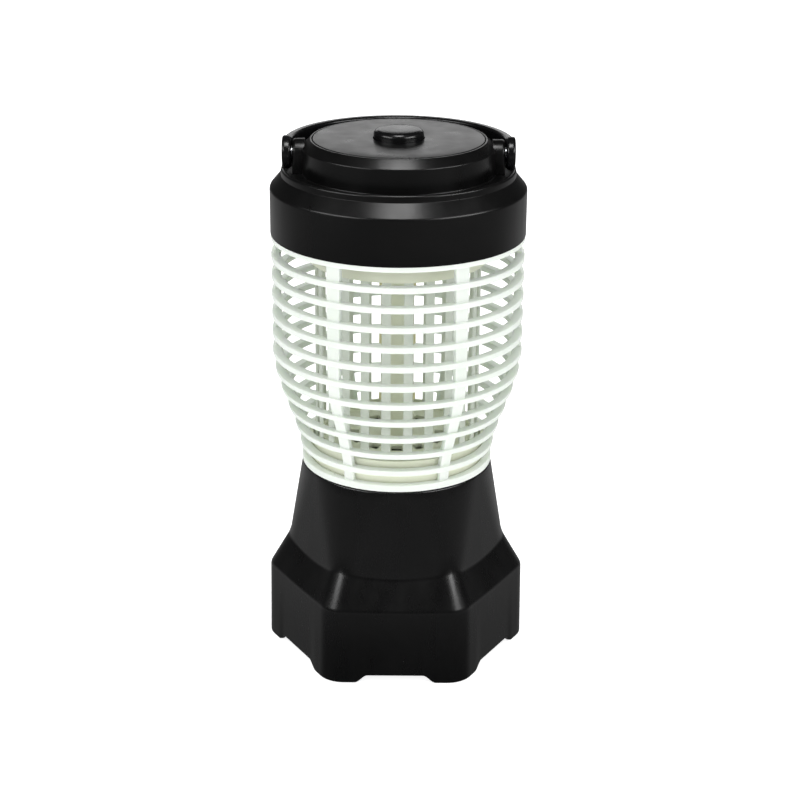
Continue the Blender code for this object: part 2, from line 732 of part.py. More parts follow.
def light_column():
    """Hexagonal column with three light boards on its rear and front-side faces."""
    low, high = FLOOR_TOP + GAP, 214.3
    hexagon = [tuple(polar(COLUMN_RADIUS, 60.0 * i, 0.0)[:2]) for i in range(6)]
    prism("led_column", hexagon, low, high, CREAM)
    face = COLUMN_RADIUS * cos(radians(30.0)) + GAP
    board, chip, half = 1.0, 2.1, 2.6
    stations = [(face, 122.0), (face + board, 122.0)]
    for centre in LED_HEIGHTS:
        stations += [(face + board, centre - half), (face + chip, centre - half),
                     (face + chip, centre + half), (face + board, centre + half)]
    stations += [(face + board, 206.0), (face, 206.0)]
    for index, angle in enumerate(LED_FACES):
        strip = prism(f"led_board_{index + 1}", stations, -2.6, 2.6, BOARD, axes="XZY")
        strip.data.transform(Matrix.Rotation(radians(angle), 4, "Z"))
    turned("power_socket", [(2.3, 108.6), (7.6, 108.6), (7.6, 111.1), (0.0, 111.1), (0.0, 110.0),
                            (2.3, 110.0)], GREY, segments=16)


# ---------------------------------------------------------------- cap
def cap_deck():
    """Dish that closes the cap from below and clamps the cage under the cap's wall."""
    low, high = 217.5, 219.7
    outer = SPIGOT_INNER - FACET_GAP
    flange = CAP_EDGE + 5.0 + GAP
    deck = turned("cap_deck", [(3.2, low), (outer, low), (outer, flange), (SPIGOT_OUTER, flange),
                               (SPIGOT_OUTER, flange + 1.8), (outer - 1.8, flange + 1.8),
                               (outer - 1.8, high), (3.2, high)], GREY)
    for index, angle in enumerate(CAP_SCREW_ANGLES):
        spot = tuple(polar(CAP_SCREW_RADIUS, angle, 0.0)[:2])
        bore = prism(f"guide_cap_deck_bore_{index}", circle_outline(1.9, 12, spot), 210.0, 224.0, GREY)
        combine(deck, bore, "DIFFERENCE")
        screw(f"cap_screw_{index + 1}", spot, 214.9, low - GAP, 236.0, head=2.6)
    return deck


def top_cap():
    """Cap housing: wall, sloping shoulder, lip, terrace, drum and two pivot towers."""
    inner = CAP_RADIUS - WALL
    drum_in = DRUM_RADIUS - WALL
    under = TERRACE_Z - WALL
    outline = [(CAP_RADIUS, CAP_EDGE), (CAP_RADIUS, 243.0, 1.8), (57.4, 249.6), (57.4, 253.0, 1.2),
               (55.4, 253.0, 0.8), (55.2, TERRACE_Z), (DRUM_RADIUS, TERRACE_Z),
               (DRUM_RADIUS, 262.5, 1.2), (43.0, 266.6), (LID_RADIUS + 0.4, 266.6),
               (LID_RADIUS + 0.4, 262.6), (38.4, 262.6), (38.4, 259.8), (drum_in, 259.8),
               (drum_in, under), (55.9, under), (inner, 242.1), (inner, CAP_EDGE)]
    cap = turned("top_cap", outline, BLACK, steps=2)
    for side in (-1, 1):
        label = "right" if side > 0 else "left"
        arc = [(TOWER_RADIUS * cos(pi * step / 10), PIVOT_Z + TOWER_RADIUS * sin(pi * step / 10))
               for step in range(11)]
        outline = arc + [(-TOWER_RADIUS, TERRACE_Z - 1.0), (TOWER_RADIUS, TERRACE_Z - 1.0)]
        reach = sorted((side * (DRUM_RADIUS - 1.4), side * TOWER_REACH))
        tower = prism(f"guide_tower_{label}", outline, *reach, BLACK, axes="YZX")
        combine(cap, tower, "UNION")
        reach = sorted((side * (TOWER_REACH + 0.2), side * (HANDLE_OUTER + 1.6)))
        relief = prism(f"guide_relief_{label}", circle_outline(9.0, 24, (0.0, PIVOT_Z)),
                       *reach, BLACK, axes="YZX")
        combine(cap, relief, "DIFFERENCE")
        reach = sorted((side * 47.4, side * (TOWER_REACH + 2.0)))
        bore = prism(f"guide_pin_bore_{label}", circle_outline(PIN_RADIUS + GAP, 16, (0.0, PIVOT_Z)),
                     *reach, BLACK, axes="YZX")
        combine(cap, bore, "DIFFERENCE")
    for index, angle in enumerate(CAP_SCREW_ANGLES):
        spot = tuple(polar(CAP_SCREW_RADIUS, angle, 0.0)[:2])
        boss = prism(f"guide_cap_boss_{index}", circle_outline(4.2, 16, spot), 220.1, under + 1.0, BLACK)
        bore = prism(f"guide_cap_boss_bore_{index}", circle_outline(1.8, 12, spot), 215.0, 238.0, BLACK)
        combine(cap, boss, "UNION")
        combine(cap, bore, "DIFFERENCE")
    return cap


def handle_pins():
    """Headed pins through the handle's eyes into the towers."""
    head = PIN_HEAD_FACE - 1.6
    for label, side in (("left", -1), ("right", 1)):
        pin = turned(f"handle_pin_{label}", [(0.0, 47.8), (PIN_RADIUS, 47.8), (PIN_RADIUS, head),
                                             (PIN_HEAD, head), (PIN_HEAD, PIN_HEAD_FACE, 0.5),
                                             (0.0, PIN_HEAD_FACE)], ZINC, segments=16, steps=1)
        turn = Matrix.Rotation(side * pi / 2, 4, "Y")
        pin.data.transform(Matrix.Translation((0.0, 0.0, PIVOT_Z * MM)) @ turn)


def lid_plate():
    """Round lid let into the drum, slightly domed, with the button's hole."""
    hole = BUTTON_RADIUS + 0.3
    dome = [(r, LID_TOP + 0.25 - 0.25 * (r / LID_RADIUS) ** 2) for r in (30.0, 20.0, hole)]
    turned("lid_plate", [(hole, 262.9), (LID_RADIUS, 262.9), (LID_RADIUS, LID_TOP, 0.5), *dome],
           BLACK, steps=2)


def push_button():
    """Latching button: domed top, skirt through the lid and a flange that keeps it in."""
    turned("power_button", [(0.0, 262.0), (9.4, 262.0), (9.4, 258.4), (14.2, 258.4), (14.2, 260.2),
                            (BUTTON_RADIUS, 260.2), (BUTTON_RADIUS, BUTTON_TOP - 0.3, 2.6),
                            (6.0, BUTTON_TOP), (0.0, BUTTON_TOP)], GLOSS_BLACK, segments=24)
    turned("switch_plunger", [(0.0, 253.0), (3.0, 253.0), (3.0, 261.7), (0.0, 261.7)],
           GREY, segments=12)
    coil_spring("button_spring", (0.0, 0.0), 249.4, 261.6, 7.4, 7.4, 4.5, 0.5, ZINC)


def electronics():
    """Driver board with its step-up transformer, capacitors and button switch."""
    board_low, board_high = 233.0, 234.6
    prism("driver_board", rectangle(-27.0, -34.0, 27.0, 34.0), board_low, board_high, BOARD)
    base = board_high + GAP
    prism("transformer", rectangle(-22.0, 12.0, -2.0, 30.0), base, base + 11.0, GREY)
    for index, x in enumerate((8.0, 19.0)):
        turned(f"capacitor_{index + 1}", [(0.0, base), (4.6, base), (4.6, base + 11.0, 0.6),
                                          (0.0, base + 11.0)],
               CELL_SKIN, segments=16, centre=(x, 22.0), steps=1)
    turned("switch_body", [(0.0, base), (9.6, base), (9.6, 249.1), (5.6, 249.1), (5.6, 256.0),
                           (3.4, 256.0), (3.4, 250.0), (0.0, 250.0)], GREY, segments=16)


def bail_handle():
    """Half-round band that ends in two round eyes on the pivot line, folded back."""
    steps = 24
    middle_radius = (HANDLE_INNER + HANDLE_OUTER) / 2
    half_thick = (HANDLE_OUTER - HANDLE_INNER) / 2
    soft = 1.2
    section = [(-half_thick, -HANDLE_HALF + soft), (-half_thick + soft, -HANDLE_HALF),
               (half_thick - soft, -HANDLE_HALF), (half_thick, -HANDLE_HALF + soft),
               (half_thick, HANDLE_HALF - soft), (half_thick - soft, HANDLE_HALF),
               (-half_thick + soft, HANDLE_HALF), (-half_thick, HANDLE_HALF - soft)]
    rings = [[polar(middle_radius + across, 180.0 * step / steps, PIVOT_Z + up)
              for across, up in section] for step in range(steps + 1)]
    faces = [rings[0], rings[-1][::-1]]
    for first, second in zip(rings, rings[1:]):
        for i in range(len(section)):
            j = (i + 1) % len(section)
            faces.append([first[i], second[i], second[j], first[j]])
    bm = build_faces(faces)
    bmesh.ops.recalc_face_normals(bm, faces=bm.faces)
    handle = add_object("bail_handle", bm, GLOSS_BLACK)
    for label, side in (("left", -1), ("right", 1)):
        reach = sorted((side * HANDLE_INNER, side * HANDLE_OUTER))
        eye = prism(f"guide_eye_{label}", circle_outline(HANDLE_EYE, 24, (0.0, PIVOT_Z)),
                    *reach, GLOSS_BLACK, axes="YZX")
        combine(handle, eye, "UNION")
        for use, radius, start in (("bore", PIN_RADIUS + GAP, HANDLE_INNER - 2.0),
                                   ("recess", PIN_HEAD + GAP, PIN_HEAD_FACE - 1.9)):
            reach = sorted((side * start, side * (HANDLE_OUTER + 2.0)))
            tool = prism(f"guide_eye_{use}_{label}", circle_outline(radius, 16, (0.0, PIVOT_Z)),
                         *reach, GLOSS_BLACK, axes="YZX")
            combine(handle, tool, "DIFFERENCE")
    return handle


base_shell()
base_plate()
battery_door()
batteries()
cell_divider()
battery_contacts()
base_deck()
power_column()
bug_tray()
outer_cage()
grid_base()
grid_cap()
electrode("electrode_negative", 7.5, 111.7, 113.2, 113.2, 210.0)
electrode("electrode_positive", 22.5, 212.6, 214.3, 115.9, 212.6)
light_column()
cap_deck()
top_cap()
handle_pins()
lid_plate()
push_button()
electronics()
bail_handle()
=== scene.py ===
"""Looks of the portable bug zapper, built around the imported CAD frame.

Shape helpers take millimetres and MM turns them into metres, in the frame's axes:
+Z up, front towards -Y, the vertical axis through the origin.
"""

import json
from math import acos, atan2, ceil, cos, degrees, pi, radians, sin, sqrt, tan

import bmesh
import bpy
from mathutils import Matrix, Vector


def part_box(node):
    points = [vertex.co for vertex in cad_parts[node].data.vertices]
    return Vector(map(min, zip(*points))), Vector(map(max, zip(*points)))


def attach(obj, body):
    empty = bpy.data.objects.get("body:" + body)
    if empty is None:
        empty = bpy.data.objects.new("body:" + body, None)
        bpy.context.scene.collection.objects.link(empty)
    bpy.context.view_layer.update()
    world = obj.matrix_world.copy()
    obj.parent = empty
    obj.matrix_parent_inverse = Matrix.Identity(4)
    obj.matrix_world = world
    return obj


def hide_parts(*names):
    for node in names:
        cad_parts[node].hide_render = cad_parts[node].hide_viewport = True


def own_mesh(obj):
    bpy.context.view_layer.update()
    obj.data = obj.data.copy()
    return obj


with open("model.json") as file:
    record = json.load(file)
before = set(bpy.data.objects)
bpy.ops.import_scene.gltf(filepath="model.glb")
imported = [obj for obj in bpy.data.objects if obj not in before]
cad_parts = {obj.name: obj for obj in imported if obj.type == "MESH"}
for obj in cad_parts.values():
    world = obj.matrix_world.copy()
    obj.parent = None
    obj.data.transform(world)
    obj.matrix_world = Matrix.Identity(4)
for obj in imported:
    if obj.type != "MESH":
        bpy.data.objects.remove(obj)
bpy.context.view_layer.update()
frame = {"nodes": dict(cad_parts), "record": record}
MM = 0.001
SMOOTH_ANGLE = 32.0              # degrees; sharper edges are shaded sharp


def span(node):
    """Lowest and highest corner of a CAD node in millimetres."""
    low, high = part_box(node)
    return [value / MM for value in low], [value / MM for value in high]


# ---------------------------------------------------------------- sizes, from the frame where it has them
CAP_LOW, CAP_HIGH = span("top_cap")
SHELL_HIGH = span("base_shell")[1]
CAGE_LOW, CAGE_HIGH = span("outer_cage")
CUP_LOW, CUP_HIGH = span("grid_base")
BUTTON_HIGH = span("power_button")[1]
LID_HIGH = span("lid_plate")[1]
PIN_LOW, PIN_HIGH = span("handle_pin_right")
HANDLE_HIGH = span("bail_handle")[1]

WALL = 2.4
CAP_RADIUS = CAP_HIGH[1]
CAP_EDGE = CAP_LOW[2]
DRUM_RADIUS = 47.0
TERRACE_Z = 250.0
LID_TOP = LID_HIGH[2] - 0.25
LID_RADIUS = LID_HIGH[0]
BUTTON_RADIUS = 12.3
BUTTON_TOP = BUTTON_HIGH[2]
PIVOT_Z = (PIN_LOW[2] + PIN_HIGH[2]) / 2
HANDLE_OUTER = HANDLE_HIGH[0]
HANDLE_INNER = HANDLE_OUTER - 4.4
HANDLE_HALF = 6.1
HANDLE_EYE = 8.0
PIN_RADIUS = 2.7
PIN_HEAD = 4.6
PIN_HEAD_FACE = PIN_HIGH[0]
WALL_TOP = 243.0
SHOULDER_TOP = 249.5
LIP_TOP = 253.0
LIP_OUTER = 57.4
LIP_INNER = 55.4
CHAMFER_LOW = 262.5
CHAMFER_RADIUS = 43.0
DRUM_TOP = CAP_HIGH[2]
SEAT_Z = 262.6                   # shelf that carries the lid
SEAT_RADIUS = 38.4
SEAT_THICK = 2.8
TOWER_REACH = 51.6
TOWER_RADIUS = 6.6

FOOT_APOTHEM = SHELL_HIGH[1]
SKIRT_APOTHEM = FOOT_APOTHEM - 0.7
SKIRT_CORNER = 12.0
FOOT_CORNER = 14.0
SKIRT_TOP = 38.6
NOTCH_HEIGHT = 4.0
NOTCH_FLAT = 14.2
NOTCH_END = 20.6
LEDGE_APOTHEM = 50.4
LEDGE_VERTEX = 55.3
LEDGE_FACE_Z = 53.3
LEDGE_VERTEX_Z = 57.0
NECK_TOP = SHELL_HIGH[2]
NECK_TOP_RADIUS = 47.9

CAGE_BOTTOM = CAGE_LOW[2]
BAND_BOTTOM_TOP = CAGE_BOTTOM + 3.5
CAGE_WIDE = 62.8
CAGE_NARROW = 48.4
RING_COUNT = 11
RING_PITCH = 9.81
RING_HEIGHT = 3.0
RING_LOWEST = 109.1
RING_DEPTH = 4.6
RIB_ANGLES = (0.0, 60.0, 120.0, 180.0, 240.0, 300.0)
RIB_RECESS = 1.3
BAND_TOP_BOTTOM = 217.6
CAGE_CURVE_LOW = 101.8           # height where the cage starts to widen
CAGE_CURVE_RISE = 59.5           # height over which it widens
RIB_HALF_LOW = 2.7
RIB_HALF_GAIN = 1.1
SPIGOT_RISE = 5.3
RIB_TO_RING = 6.0                # degrees from a rib to the first step of its rings

GRID_RADIUS = 41.0
STRIP_WIDTH = 4.5
STRIP_THICK = 0.8
STRIPS_EACH = 12
COLUMN_RADIUS = 8.0
LED_FACES = (90.0, 210.0, 330.0)
LED_HEIGHTS = (135.0, 165.0, 195.0)
LED_BOARD_HALF = 2.6
LED_BOARD_THICK = 1.0
LED_BOARD_LEVELS = (122.0, 206.0)
CHIP_HALF = 2.5
CHIP_TALL = 2.6                  # half of a chip's height
CHIP_REACH = (0.95, 2.1)
LOWER_RING = (111.7, 113.2)
UPPER_RING = (212.6, 214.3)
OUTER_STRIPS = (LOWER_RING[1], 210.0)
INNER_STRIPS = (115.9, UPPER_RING[0])
SLOT_HALF = 7.0
CUP_TOP = CUP_HIGH[2]
FLOOR_TOP = CUP_TOP - 1.8
CUP_RADIUS = CUP_HIGH[0]
TOP_RING_EDGE = span("grid_cap")[0][2]
LUG_ANGLES = (30.0, 150.0, 270.0)
SPIGOT_INNER = 58.6
SPRING_LOW, SPRING_HIGH = span("button_spring")[0][2], span("button_spring")[1][2]
SPRING_COIL = 7.4
SPRING_WIRE = 0.5
SPRING_TURNS = 4.5
SPRING_STEPS = 28                # steps of each turn
SPIGOT_OUTER = CAP_RADIUS - WALL - 0.4

EDGE_ROUND = 0.8                 # rounding of the shell's lower edge
SKIRT_EDGE = 1.3                 # reach of the bend between skirt and sloping ledge
LEDGE_EDGE = 1.2                 # reach of the bend between ledge and neck
RIM_STEPS = 5                    # steps of a rounded rim
FOOT_STEPS = 4                   # steps of the rounding at the shell's lower edge
RING_STEPS = 18                  # steps of each ring between two ribs

# camera, metres and radians
CAMERA_PLACE = (0.0, -0.9136, 0.48044)
CAMERA_PITCH = 0.3656256
CAMERA_ROLL = 0.007
CAMERA_LENS = 86.31
CAMERA_SHIFT = 0.00375

# light
FLOOR_GLOW = 0.85
WORLD_SOFT = 0.84
WORLD_MIRRORED = 0.04
WORLD_LOW = 0.26                 # extra seen in reflections, a band just below the horizon
WORLD_LOW_BACK = 0.12            # extra seen in reflections, low down and behind the object
BACK_FADE = (0.1, 0.6)           # direction's Y, from no low glow to all of it
BACK_LOW_FADE = (0.1, -0.4)      # direction's Z, the same
BAND_FADE_IN = (-0.50, -0.30)    # direction's Z, lower edge of the low band
BAND_FADE_OUT = (-0.02, -0.22)   # direction's Z, upper edge of the low band
MIRRORED, DIFFUSE = True, False
SOFT_BOXES = (
    # name, size, place, target, power, whether it is only mirrored or only lights softly
    ("back_low_box", (1.1, 0.34), (0.0, 1.35, 0.58), (0.0, 0.0, 0.25), 1.7, MIRRORED),
    ("front_top_box", (0.46, 0.40), (0.0, -0.42, 1.17), (0.0, 0.0, 0.25), 7.5, MIRRORED),
    ("left_front_box", (0.70, 0.26), (-0.71, -0.46, 0.62), (0.0, 0.0, 0.05), 4.6, MIRRORED),
    ("right_front_box", (0.70, 0.26), (0.71, -0.46, 0.62), (0.0, 0.0, 0.05), 5.8, MIRRORED),
    ("front_fill_box", (1.2, 0.8), (0.0, -0.85, 1.35), (0.0, 0.0, 0.15), 4.0, DIFFUSE),
)


# ---------------------------------------------------------------- mesh helpers
def add_object(name, bm, material):
    """Scale a millimetre bmesh to metres and link it as one named object."""
    bmesh.ops.scale(bm, vec=Vector((MM, MM, MM)), verts=bm.verts)
    mesh = bpy.data.meshes.new(name)
    bm.to_mesh(mesh)
    bm.free()
    mesh.materials.append(material)
    mesh.shade_smooth()
    mesh.set_sharp_from_angle(angle=radians(SMOOTH_ANGLE))
    piece = bpy.data.objects.new(name, mesh)
    bpy.context.scene.collection.objects.link(piece)
    return piece


def settle(piece, body, slot, *nodes):
    """Let a finished piece ride on its body and stand for its CAD nodes."""
    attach(piece, body)
    if nodes:
        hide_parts(*nodes)
    return piece


def polar(radius, angle, height):
    return Vector((radius * cos(radians(angle)), radius * sin(radians(angle)), height))


def build_faces(faces):
    """A bmesh from faces given as lists of points; equal points become one vertex."""
    bm = bmesh.new()
    known = {}
    for points in faces:
        corners = []
        for point in points:
            key = tuple(round(value, 5) for value in point)
            if key not in known:
                known[key] = bm.verts.new(point)
            if known[key] not in corners:
                corners.append(known[key])
        if len(corners) >= 3:
            bm.faces.new(corners)
    return bm


def fillet(outline, steps=6):
    """Round the corners of a closed outline of (u, v) or (u, v, radius) points."""
    result = []
    count = len(outline)
    for index, corner in enumerate(outline):
        radius = corner[2] if len(corner) > 2 else 0.0
        here = Vector(corner[:2])
        if radius == 0.0:
            result.append(tuple(here))
            continue
        back = (Vector(outline[index - 1][:2]) - here).normalized()
        ahead = (Vector(outline[(index + 1) % count][:2]) - here).normalized()
        half = acos(max(-1.0, min(1.0, back.dot(ahead)))) / 2
        centre = here + (back + ahead).normalized() * radius / sin(half)
        start = here + back * radius / tan(half) - centre
        end = here + ahead * radius / tan(half) - centre
        turn = atan2(start.cross(end), start.dot(end))
        for step in range(steps + 1):
            angle = turn * step / steps
            arm = Vector((start.x * cos(angle) - start.y * sin(angle),
                          start.x * sin(angle) + start.y * cos(angle)))
            result.append(tuple(centre + arm))
    return result


def turned(name, outline, material, segments=144, steps=6):
    """A turned solid; its (radius, height) outline runs counter-clockwise."""
    profile = fillet(outline, steps)
    faces = []
    for segment in range(segments):
        first = 360.0 * segment / segments
        second = 360.0 * ((segment + 1) % segments) / segments
        for (r0, z0), (r1, z1) in zip(profile, profile[1:] + profile[:1]):
            if r0 == 0.0 and r1 == 0.0:
                continue
            faces.append([polar(r0, first, z0), polar(r0, second, z0),
                          polar(r1, second, z1), polar(r1, first, z1)])
    return add_object(name, build_faces(faces), material)


def loft(name, loops, material, closed=True):
    """Skin through loops of equal length; closed joins the last to the first, else the ends are capped."""
    following = loops[1:] + (loops[:1] if closed else [])
    faces = [] if closed else [loops[0][::-1], loops[-1]]
    for below, above in zip(loops, following):
        for i in range(len(below)):
            j = (i + 1) % len(below)
            faces.append([below[i], below[j], above[j], above[i]])
    bm = build_faces(faces)
    if not closed:
        bmesh.ops.recalc_face_normals(bm, faces=bm.faces)
    return add_object(name, bm, material)


def cell_solid(name, counts, corner, filled, material):
    """A solid made of the filled cells of a grid wrapped round the Z axis."""
    around, layers, levels = counts

    def solid(i, k, l):
        return 0 <= k < layers and 0 <= l < levels and filled(i % around, k, l)

    faces = []
    for i in range(around):
        for k in range(layers):
            for l in range(levels):
                if not solid(i, k, l):
                    continue
                low, high = [[corner(i, k, level), corner(i, k + 1, level),
                              corner((i + 1) % around, k + 1, level),
                              corner((i + 1) % around, k, level)] for level in (l, l + 1)]
                sides = ((solid(i, k, l - 1), low[::-1]),
                         (solid(i, k, l + 1), high),
                         (solid(i - 1, k, l), [low[0], low[1], high[1], high[0]]),
                         (solid(i, k + 1, l), [low[1], low[2], high[2], high[1]]),
                         (solid(i + 1, k, l), [low[2], low[3], high[3], high[2]]),
                         (solid(i, k - 1, l), [low[3], low[0], high[0], high[3]]))
                faces += [points for covered, points in sides if not covered]
    return add_object(name, build_faces(faces), material)


def polar_solid(name, angles, radii, levels, filled, material):
    """A cell_solid with given angles and levels; radii(k, angle) is each boundary."""
    layers, boundary = radii

    def corner(i, k, l):
        return polar(boundary(k, angles[i]), angles[i], levels[l])

    return cell_solid(name, (len(angles), layers, len(levels) - 1), corner, filled, material)


def fixed_radii(*values):
    return len(values) - 1, lambda k, angle: values[k]


def spread(edges, largest):
    """Angles round the circle that hold every edge, no step above the largest."""
    marks = sorted({round(edge % 360.0, 4) for edge in edges})
    result = []
    for index, mark in enumerate(marks):
        following = marks[(index + 1) % len(marks)]
        gap = (following - mark) % 360.0 or 360.0
        pieces = ceil(gap / largest - 1e-6)
        result += [mark + gap * piece / pieces for piece in range(pieces)]
    return result


def within(angle, centres, half):
    return any(abs((angle - centre + 180.0) % 360.0 - 180.0) < half for centre in centres)


def middle(angles, i):
    following = angles[(i + 1) % len(angles)]
    return angles[i] + ((following - angles[i]) % 360.0) / 2


def prism(name, outline, low, high, material, axes="XYZ"):
    """Extrude a counter-clockwise outline; axes names where u, v and the length go."""
    order = ["XYZ".index(letter) for letter in axes]

    def place(point, height):
        values = [0.0, 0.0, 0.0]
        for slot_index, value in zip(order, (*point, height)):
            values[slot_index] = value
        return Vector(values)

    bottom = [place(point, low) for point in outline]
    top = [place(point, high) for point in outline]
    faces = [bottom[::-1], top]
    for i in range(len(outline)):
        j = (i + 1) % len(outline)
        faces.append([bottom[i], bottom[j], top[j], top[i]])
    bm = build_faces(faces)
    bmesh.ops.recalc_face_normals(bm, faces=bm.faces)
    return add_object(name, bm, material)


def soft_prism(name, outline, reach, soft, side):
    """An outline extruded along X with its outer rim (side +1 or -1) or both rims (0) rounded."""
    points = [Vector(point) for point in outline]
    centre = sum(points, Vector((0.0, 0.0))) / len(points)
    low, high = reach
    rounded = []
    for step in range(RIM_STEPS + 1):
        turn = pi / 2 * step / RIM_STEPS
        rounded.append((soft * (1 - sin(turn)), soft * (1 - cos(turn))))

    def ring(inset, x):
        moved = [centre + (point - centre) * (1 - inset / (point - centre).length) for point in points]
        return [Vector((x, point.x, point.y)) for point in moved]

    start, end = [ring(0.0, low)], [ring(0.0, high)]
    if side <= 0:
        start = [ring(inset, low + offset) for inset, offset in rounded]
    if side >= 0:
        end = [ring(inset, high - offset) for inset, offset in reversed(rounded)]
    return loft(name, start + end, BLACK, closed=False)


def circle_outline(radius, sides, centre=(0.0, 0.0)):
    turns = [2 * pi * (i + 0.5) / sides for i in range(sides)]
    return [(centre[0] + radius * cos(turn), centre[1] + radius * sin(turn)) for turn in turns]


def soften(piece, width, segments=2, angle=SMOOTH_ANGLE):
    """Round a piece's sharp edges by a small width, in millimetres."""
    bevel = piece.modifiers.new("soft_edges", "BEVEL")
    bevel.width = width * MM
    bevel.segments = segments
    bevel.limit_method = "ANGLE"
    bevel.angle_limit = radians(angle)
    bevel.miter_outer = "MITER_ARC"
    bevel.harden_normals = True
    return piece


def combine(target, tool, operation):
    """Cut a tool out of a target, or join it on, then throw the tool away."""
    boolean = target.modifiers.new(tool.name, "BOOLEAN")
    boolean.operation = operation
    boolean.solver = "EXACT"
    boolean.object = tool
    with bpy.context.temp_override(object=target, active_object=target):
        bpy.ops.object.modifier_apply(modifier=boolean.name)
    bpy.data.objects.remove(tool, do_unlink=True)
    target.data.set_sharp_from_angle(angle=radians(SMOOTH_ANGLE))
    return target


# ---------------------------------------------------------------- materials
class Nodes:
    """A Principled material whose detail comes from named procedural nodes."""

    def __init__(self, name, colour, roughness, metallic=0.0, specular=0.5, coat=0.0):
        self.material = bpy.data.materials.new(name)
        self.material.use_nodes = True
        self.tree = self.material.node_tree
        self.shader = self.tree.nodes["Principled BSDF"]
        self.colour = (*colour, 1.0)
        self.shader.inputs["Base Color"].default_value = self.colour
        self.shader.inputs["Roughness"].default_value = roughness
        self.shader.inputs["Metallic"].default_value = metallic
        self.shader.inputs["Specular IOR Level"].default_value = specular
        self.shader.inputs["Coat Weight"].default_value = coat
        self.place = self.add("ShaderNodeTexCoord").outputs["Object"]

    def add(self, kind, **settings):
        node = self.tree.nodes.new(kind)
        for key, value in settings.items():
            setattr(node, key, value)
        return node

    def link(self, source, target):
        self.tree.links.new(source, target)

    def noise(self, size_mm, detail=3.0, rough=0.5, stretch=(1.0, 1.0, 1.0)):
        """A noise value whose blotches are about size_mm across."""
        mapping = self.add("ShaderNodeMapping")
        mapping.inputs["Scale"].default_value = stretch
        self.link(self.place, mapping.inputs["Vector"])
        noise = self.add("ShaderNodeTexNoise")
        noise.inputs["Scale"].default_value = 1.0 / (size_mm * MM)
        noise.inputs["Detail"].default_value = detail
        noise.inputs["Roughness"].default_value = rough
        self.link(mapping.outputs["Vector"], noise.inputs["Vector"])
        return noise.outputs["Fac"]

    def band(self, value, low, high, to_low, to_high):
        """Map a value's range onto another one, clamped."""
        node = self.add("ShaderNodeMapRange")
        for key, number in (("From Min", low), ("From Max", high),
                            ("To Min", to_low), ("To Max", to_high)):
            node.inputs[key].default_value = number
        self.link(value, node.inputs["Value"])
        return node.outputs["Result"]

    def tint(self, value, first, second):
        """A colour between two, by a value from 0 to 1."""
        node = self.add("ShaderNodeMix", data_type="RGBA")
        node.inputs["A"].default_value = (*first, 1.0)
        node.inputs["B"].default_value = (*second, 1.0)
        self.link(value, node.inputs["Factor"])
        return node.outputs["Result"]

    def bump(self, heights, distance=0.00002):
        """Add bumps from (value, strength) pairs, one on top of the other."""
        normal = None
        for value, strength in heights:
            node = self.add("ShaderNodeBump")
            node.inputs["Strength"].default_value = strength
            node.inputs["Distance"].default_value = distance
            self.link(value, node.inputs["Height"])
            if normal is not None:
                self.link(normal, node.inputs["Normal"])
            normal = node.outputs["Normal"]
        self.link(normal, self.shader.inputs["Normal"])

    def roughen(self, value, low, high):
        self.link(self.band(value, 0.3, 0.7, low, high), self.shader.inputs["Roughness"])

    def paint(self, colour_output):
        self.link(colour_output, self.shader.inputs["Base Color"])


def satin_black(name, dark, light, rough_low, rough_high, specular):
    """Moulded black plastic: fine spark-eroded grain, faint flow marks and handling haze."""
    made = Nodes(name, dark, rough_low, specular=specular)
    grain = made.noise(0.28, 2.0)
    haze = made.noise(34.0, 4.0, 0.55)
    flow = made.noise(9.0, 3.0, stretch=(1.0, 1.0, 0.25))
    made.paint(made.tint(made.band(haze, 0.35, 0.7, 0.0, 1.0), dark, light))
    made.roughen(flow, rough_low, rough_high)
    made.bump([(grain, 0.20), (flow, 0.03)])
    return made.material


def gloss_black():
    """Polished black plastic with hair-fine handling marks."""
    made = Nodes("gloss_black_plastic", (0.003, 0.003, 0.0032), 0.24, specular=0.32)
    wipe = made.noise(1.1, 3.0, 0.6, stretch=(1.0, 0.08, 1.0))
    haze = made.noise(12.0, 4.0)
    made.paint(made.tint(haze, (0.003, 0.003, 0.0035), (0.006, 0.006, 0.0065)))
    made.roughen(haze, 0.21, 0.28)
    made.bump([(wipe, 0.05)])
    return made.material


def pale_plastic(name, main, warm, rough_low, rough_high, soft):
    """Pale moulded plastic, slightly translucent, with weak colour drift and fine grain."""
    made = Nodes(name, main, rough_low, specular=0.45)
    drift = made.noise(26.0, 3.0)
    grain = made.noise(0.35, 2.0)
    flow = made.noise(7.0, 3.0, stretch=(0.5, 0.5, 1.0))
    made.paint(made.tint(made.band(drift, 0.35, 0.65, 0.0, 1.0), main, warm))
    made.roughen(flow, rough_low, rough_high)
    made.bump([(grain, 0.18), (flow, 0.08)])
    made.shader.inputs["Subsurface Weight"].default_value = soft
    made.shader.inputs["Subsurface Radius"].default_value = (0.9, 1.0, 0.8)
    made.shader.inputs["Subsurface Scale"].default_value = 0.003
    return made.material


def drawn_metal(name, colour, second, rough_low, rough_high, along=(1.0, 1.0, 0.04),
                metallic=1.0):
    """Drawn or rolled metal with fine lines along one direction and dull patches."""
    made = Nodes(name, colour, rough_low, metallic=metallic)
    lines = made.noise(0.5, 3.0, 0.6, stretch=along)
    patch = made.noise(6.0, 4.0)
    made.paint(made.tint(made.band(patch, 0.35, 0.65, 0.0, 1.0), colour, second))
    made.roughen(patch, rough_low, rough_high)
    made.bump([(lines, 0.20)])
    return made.material


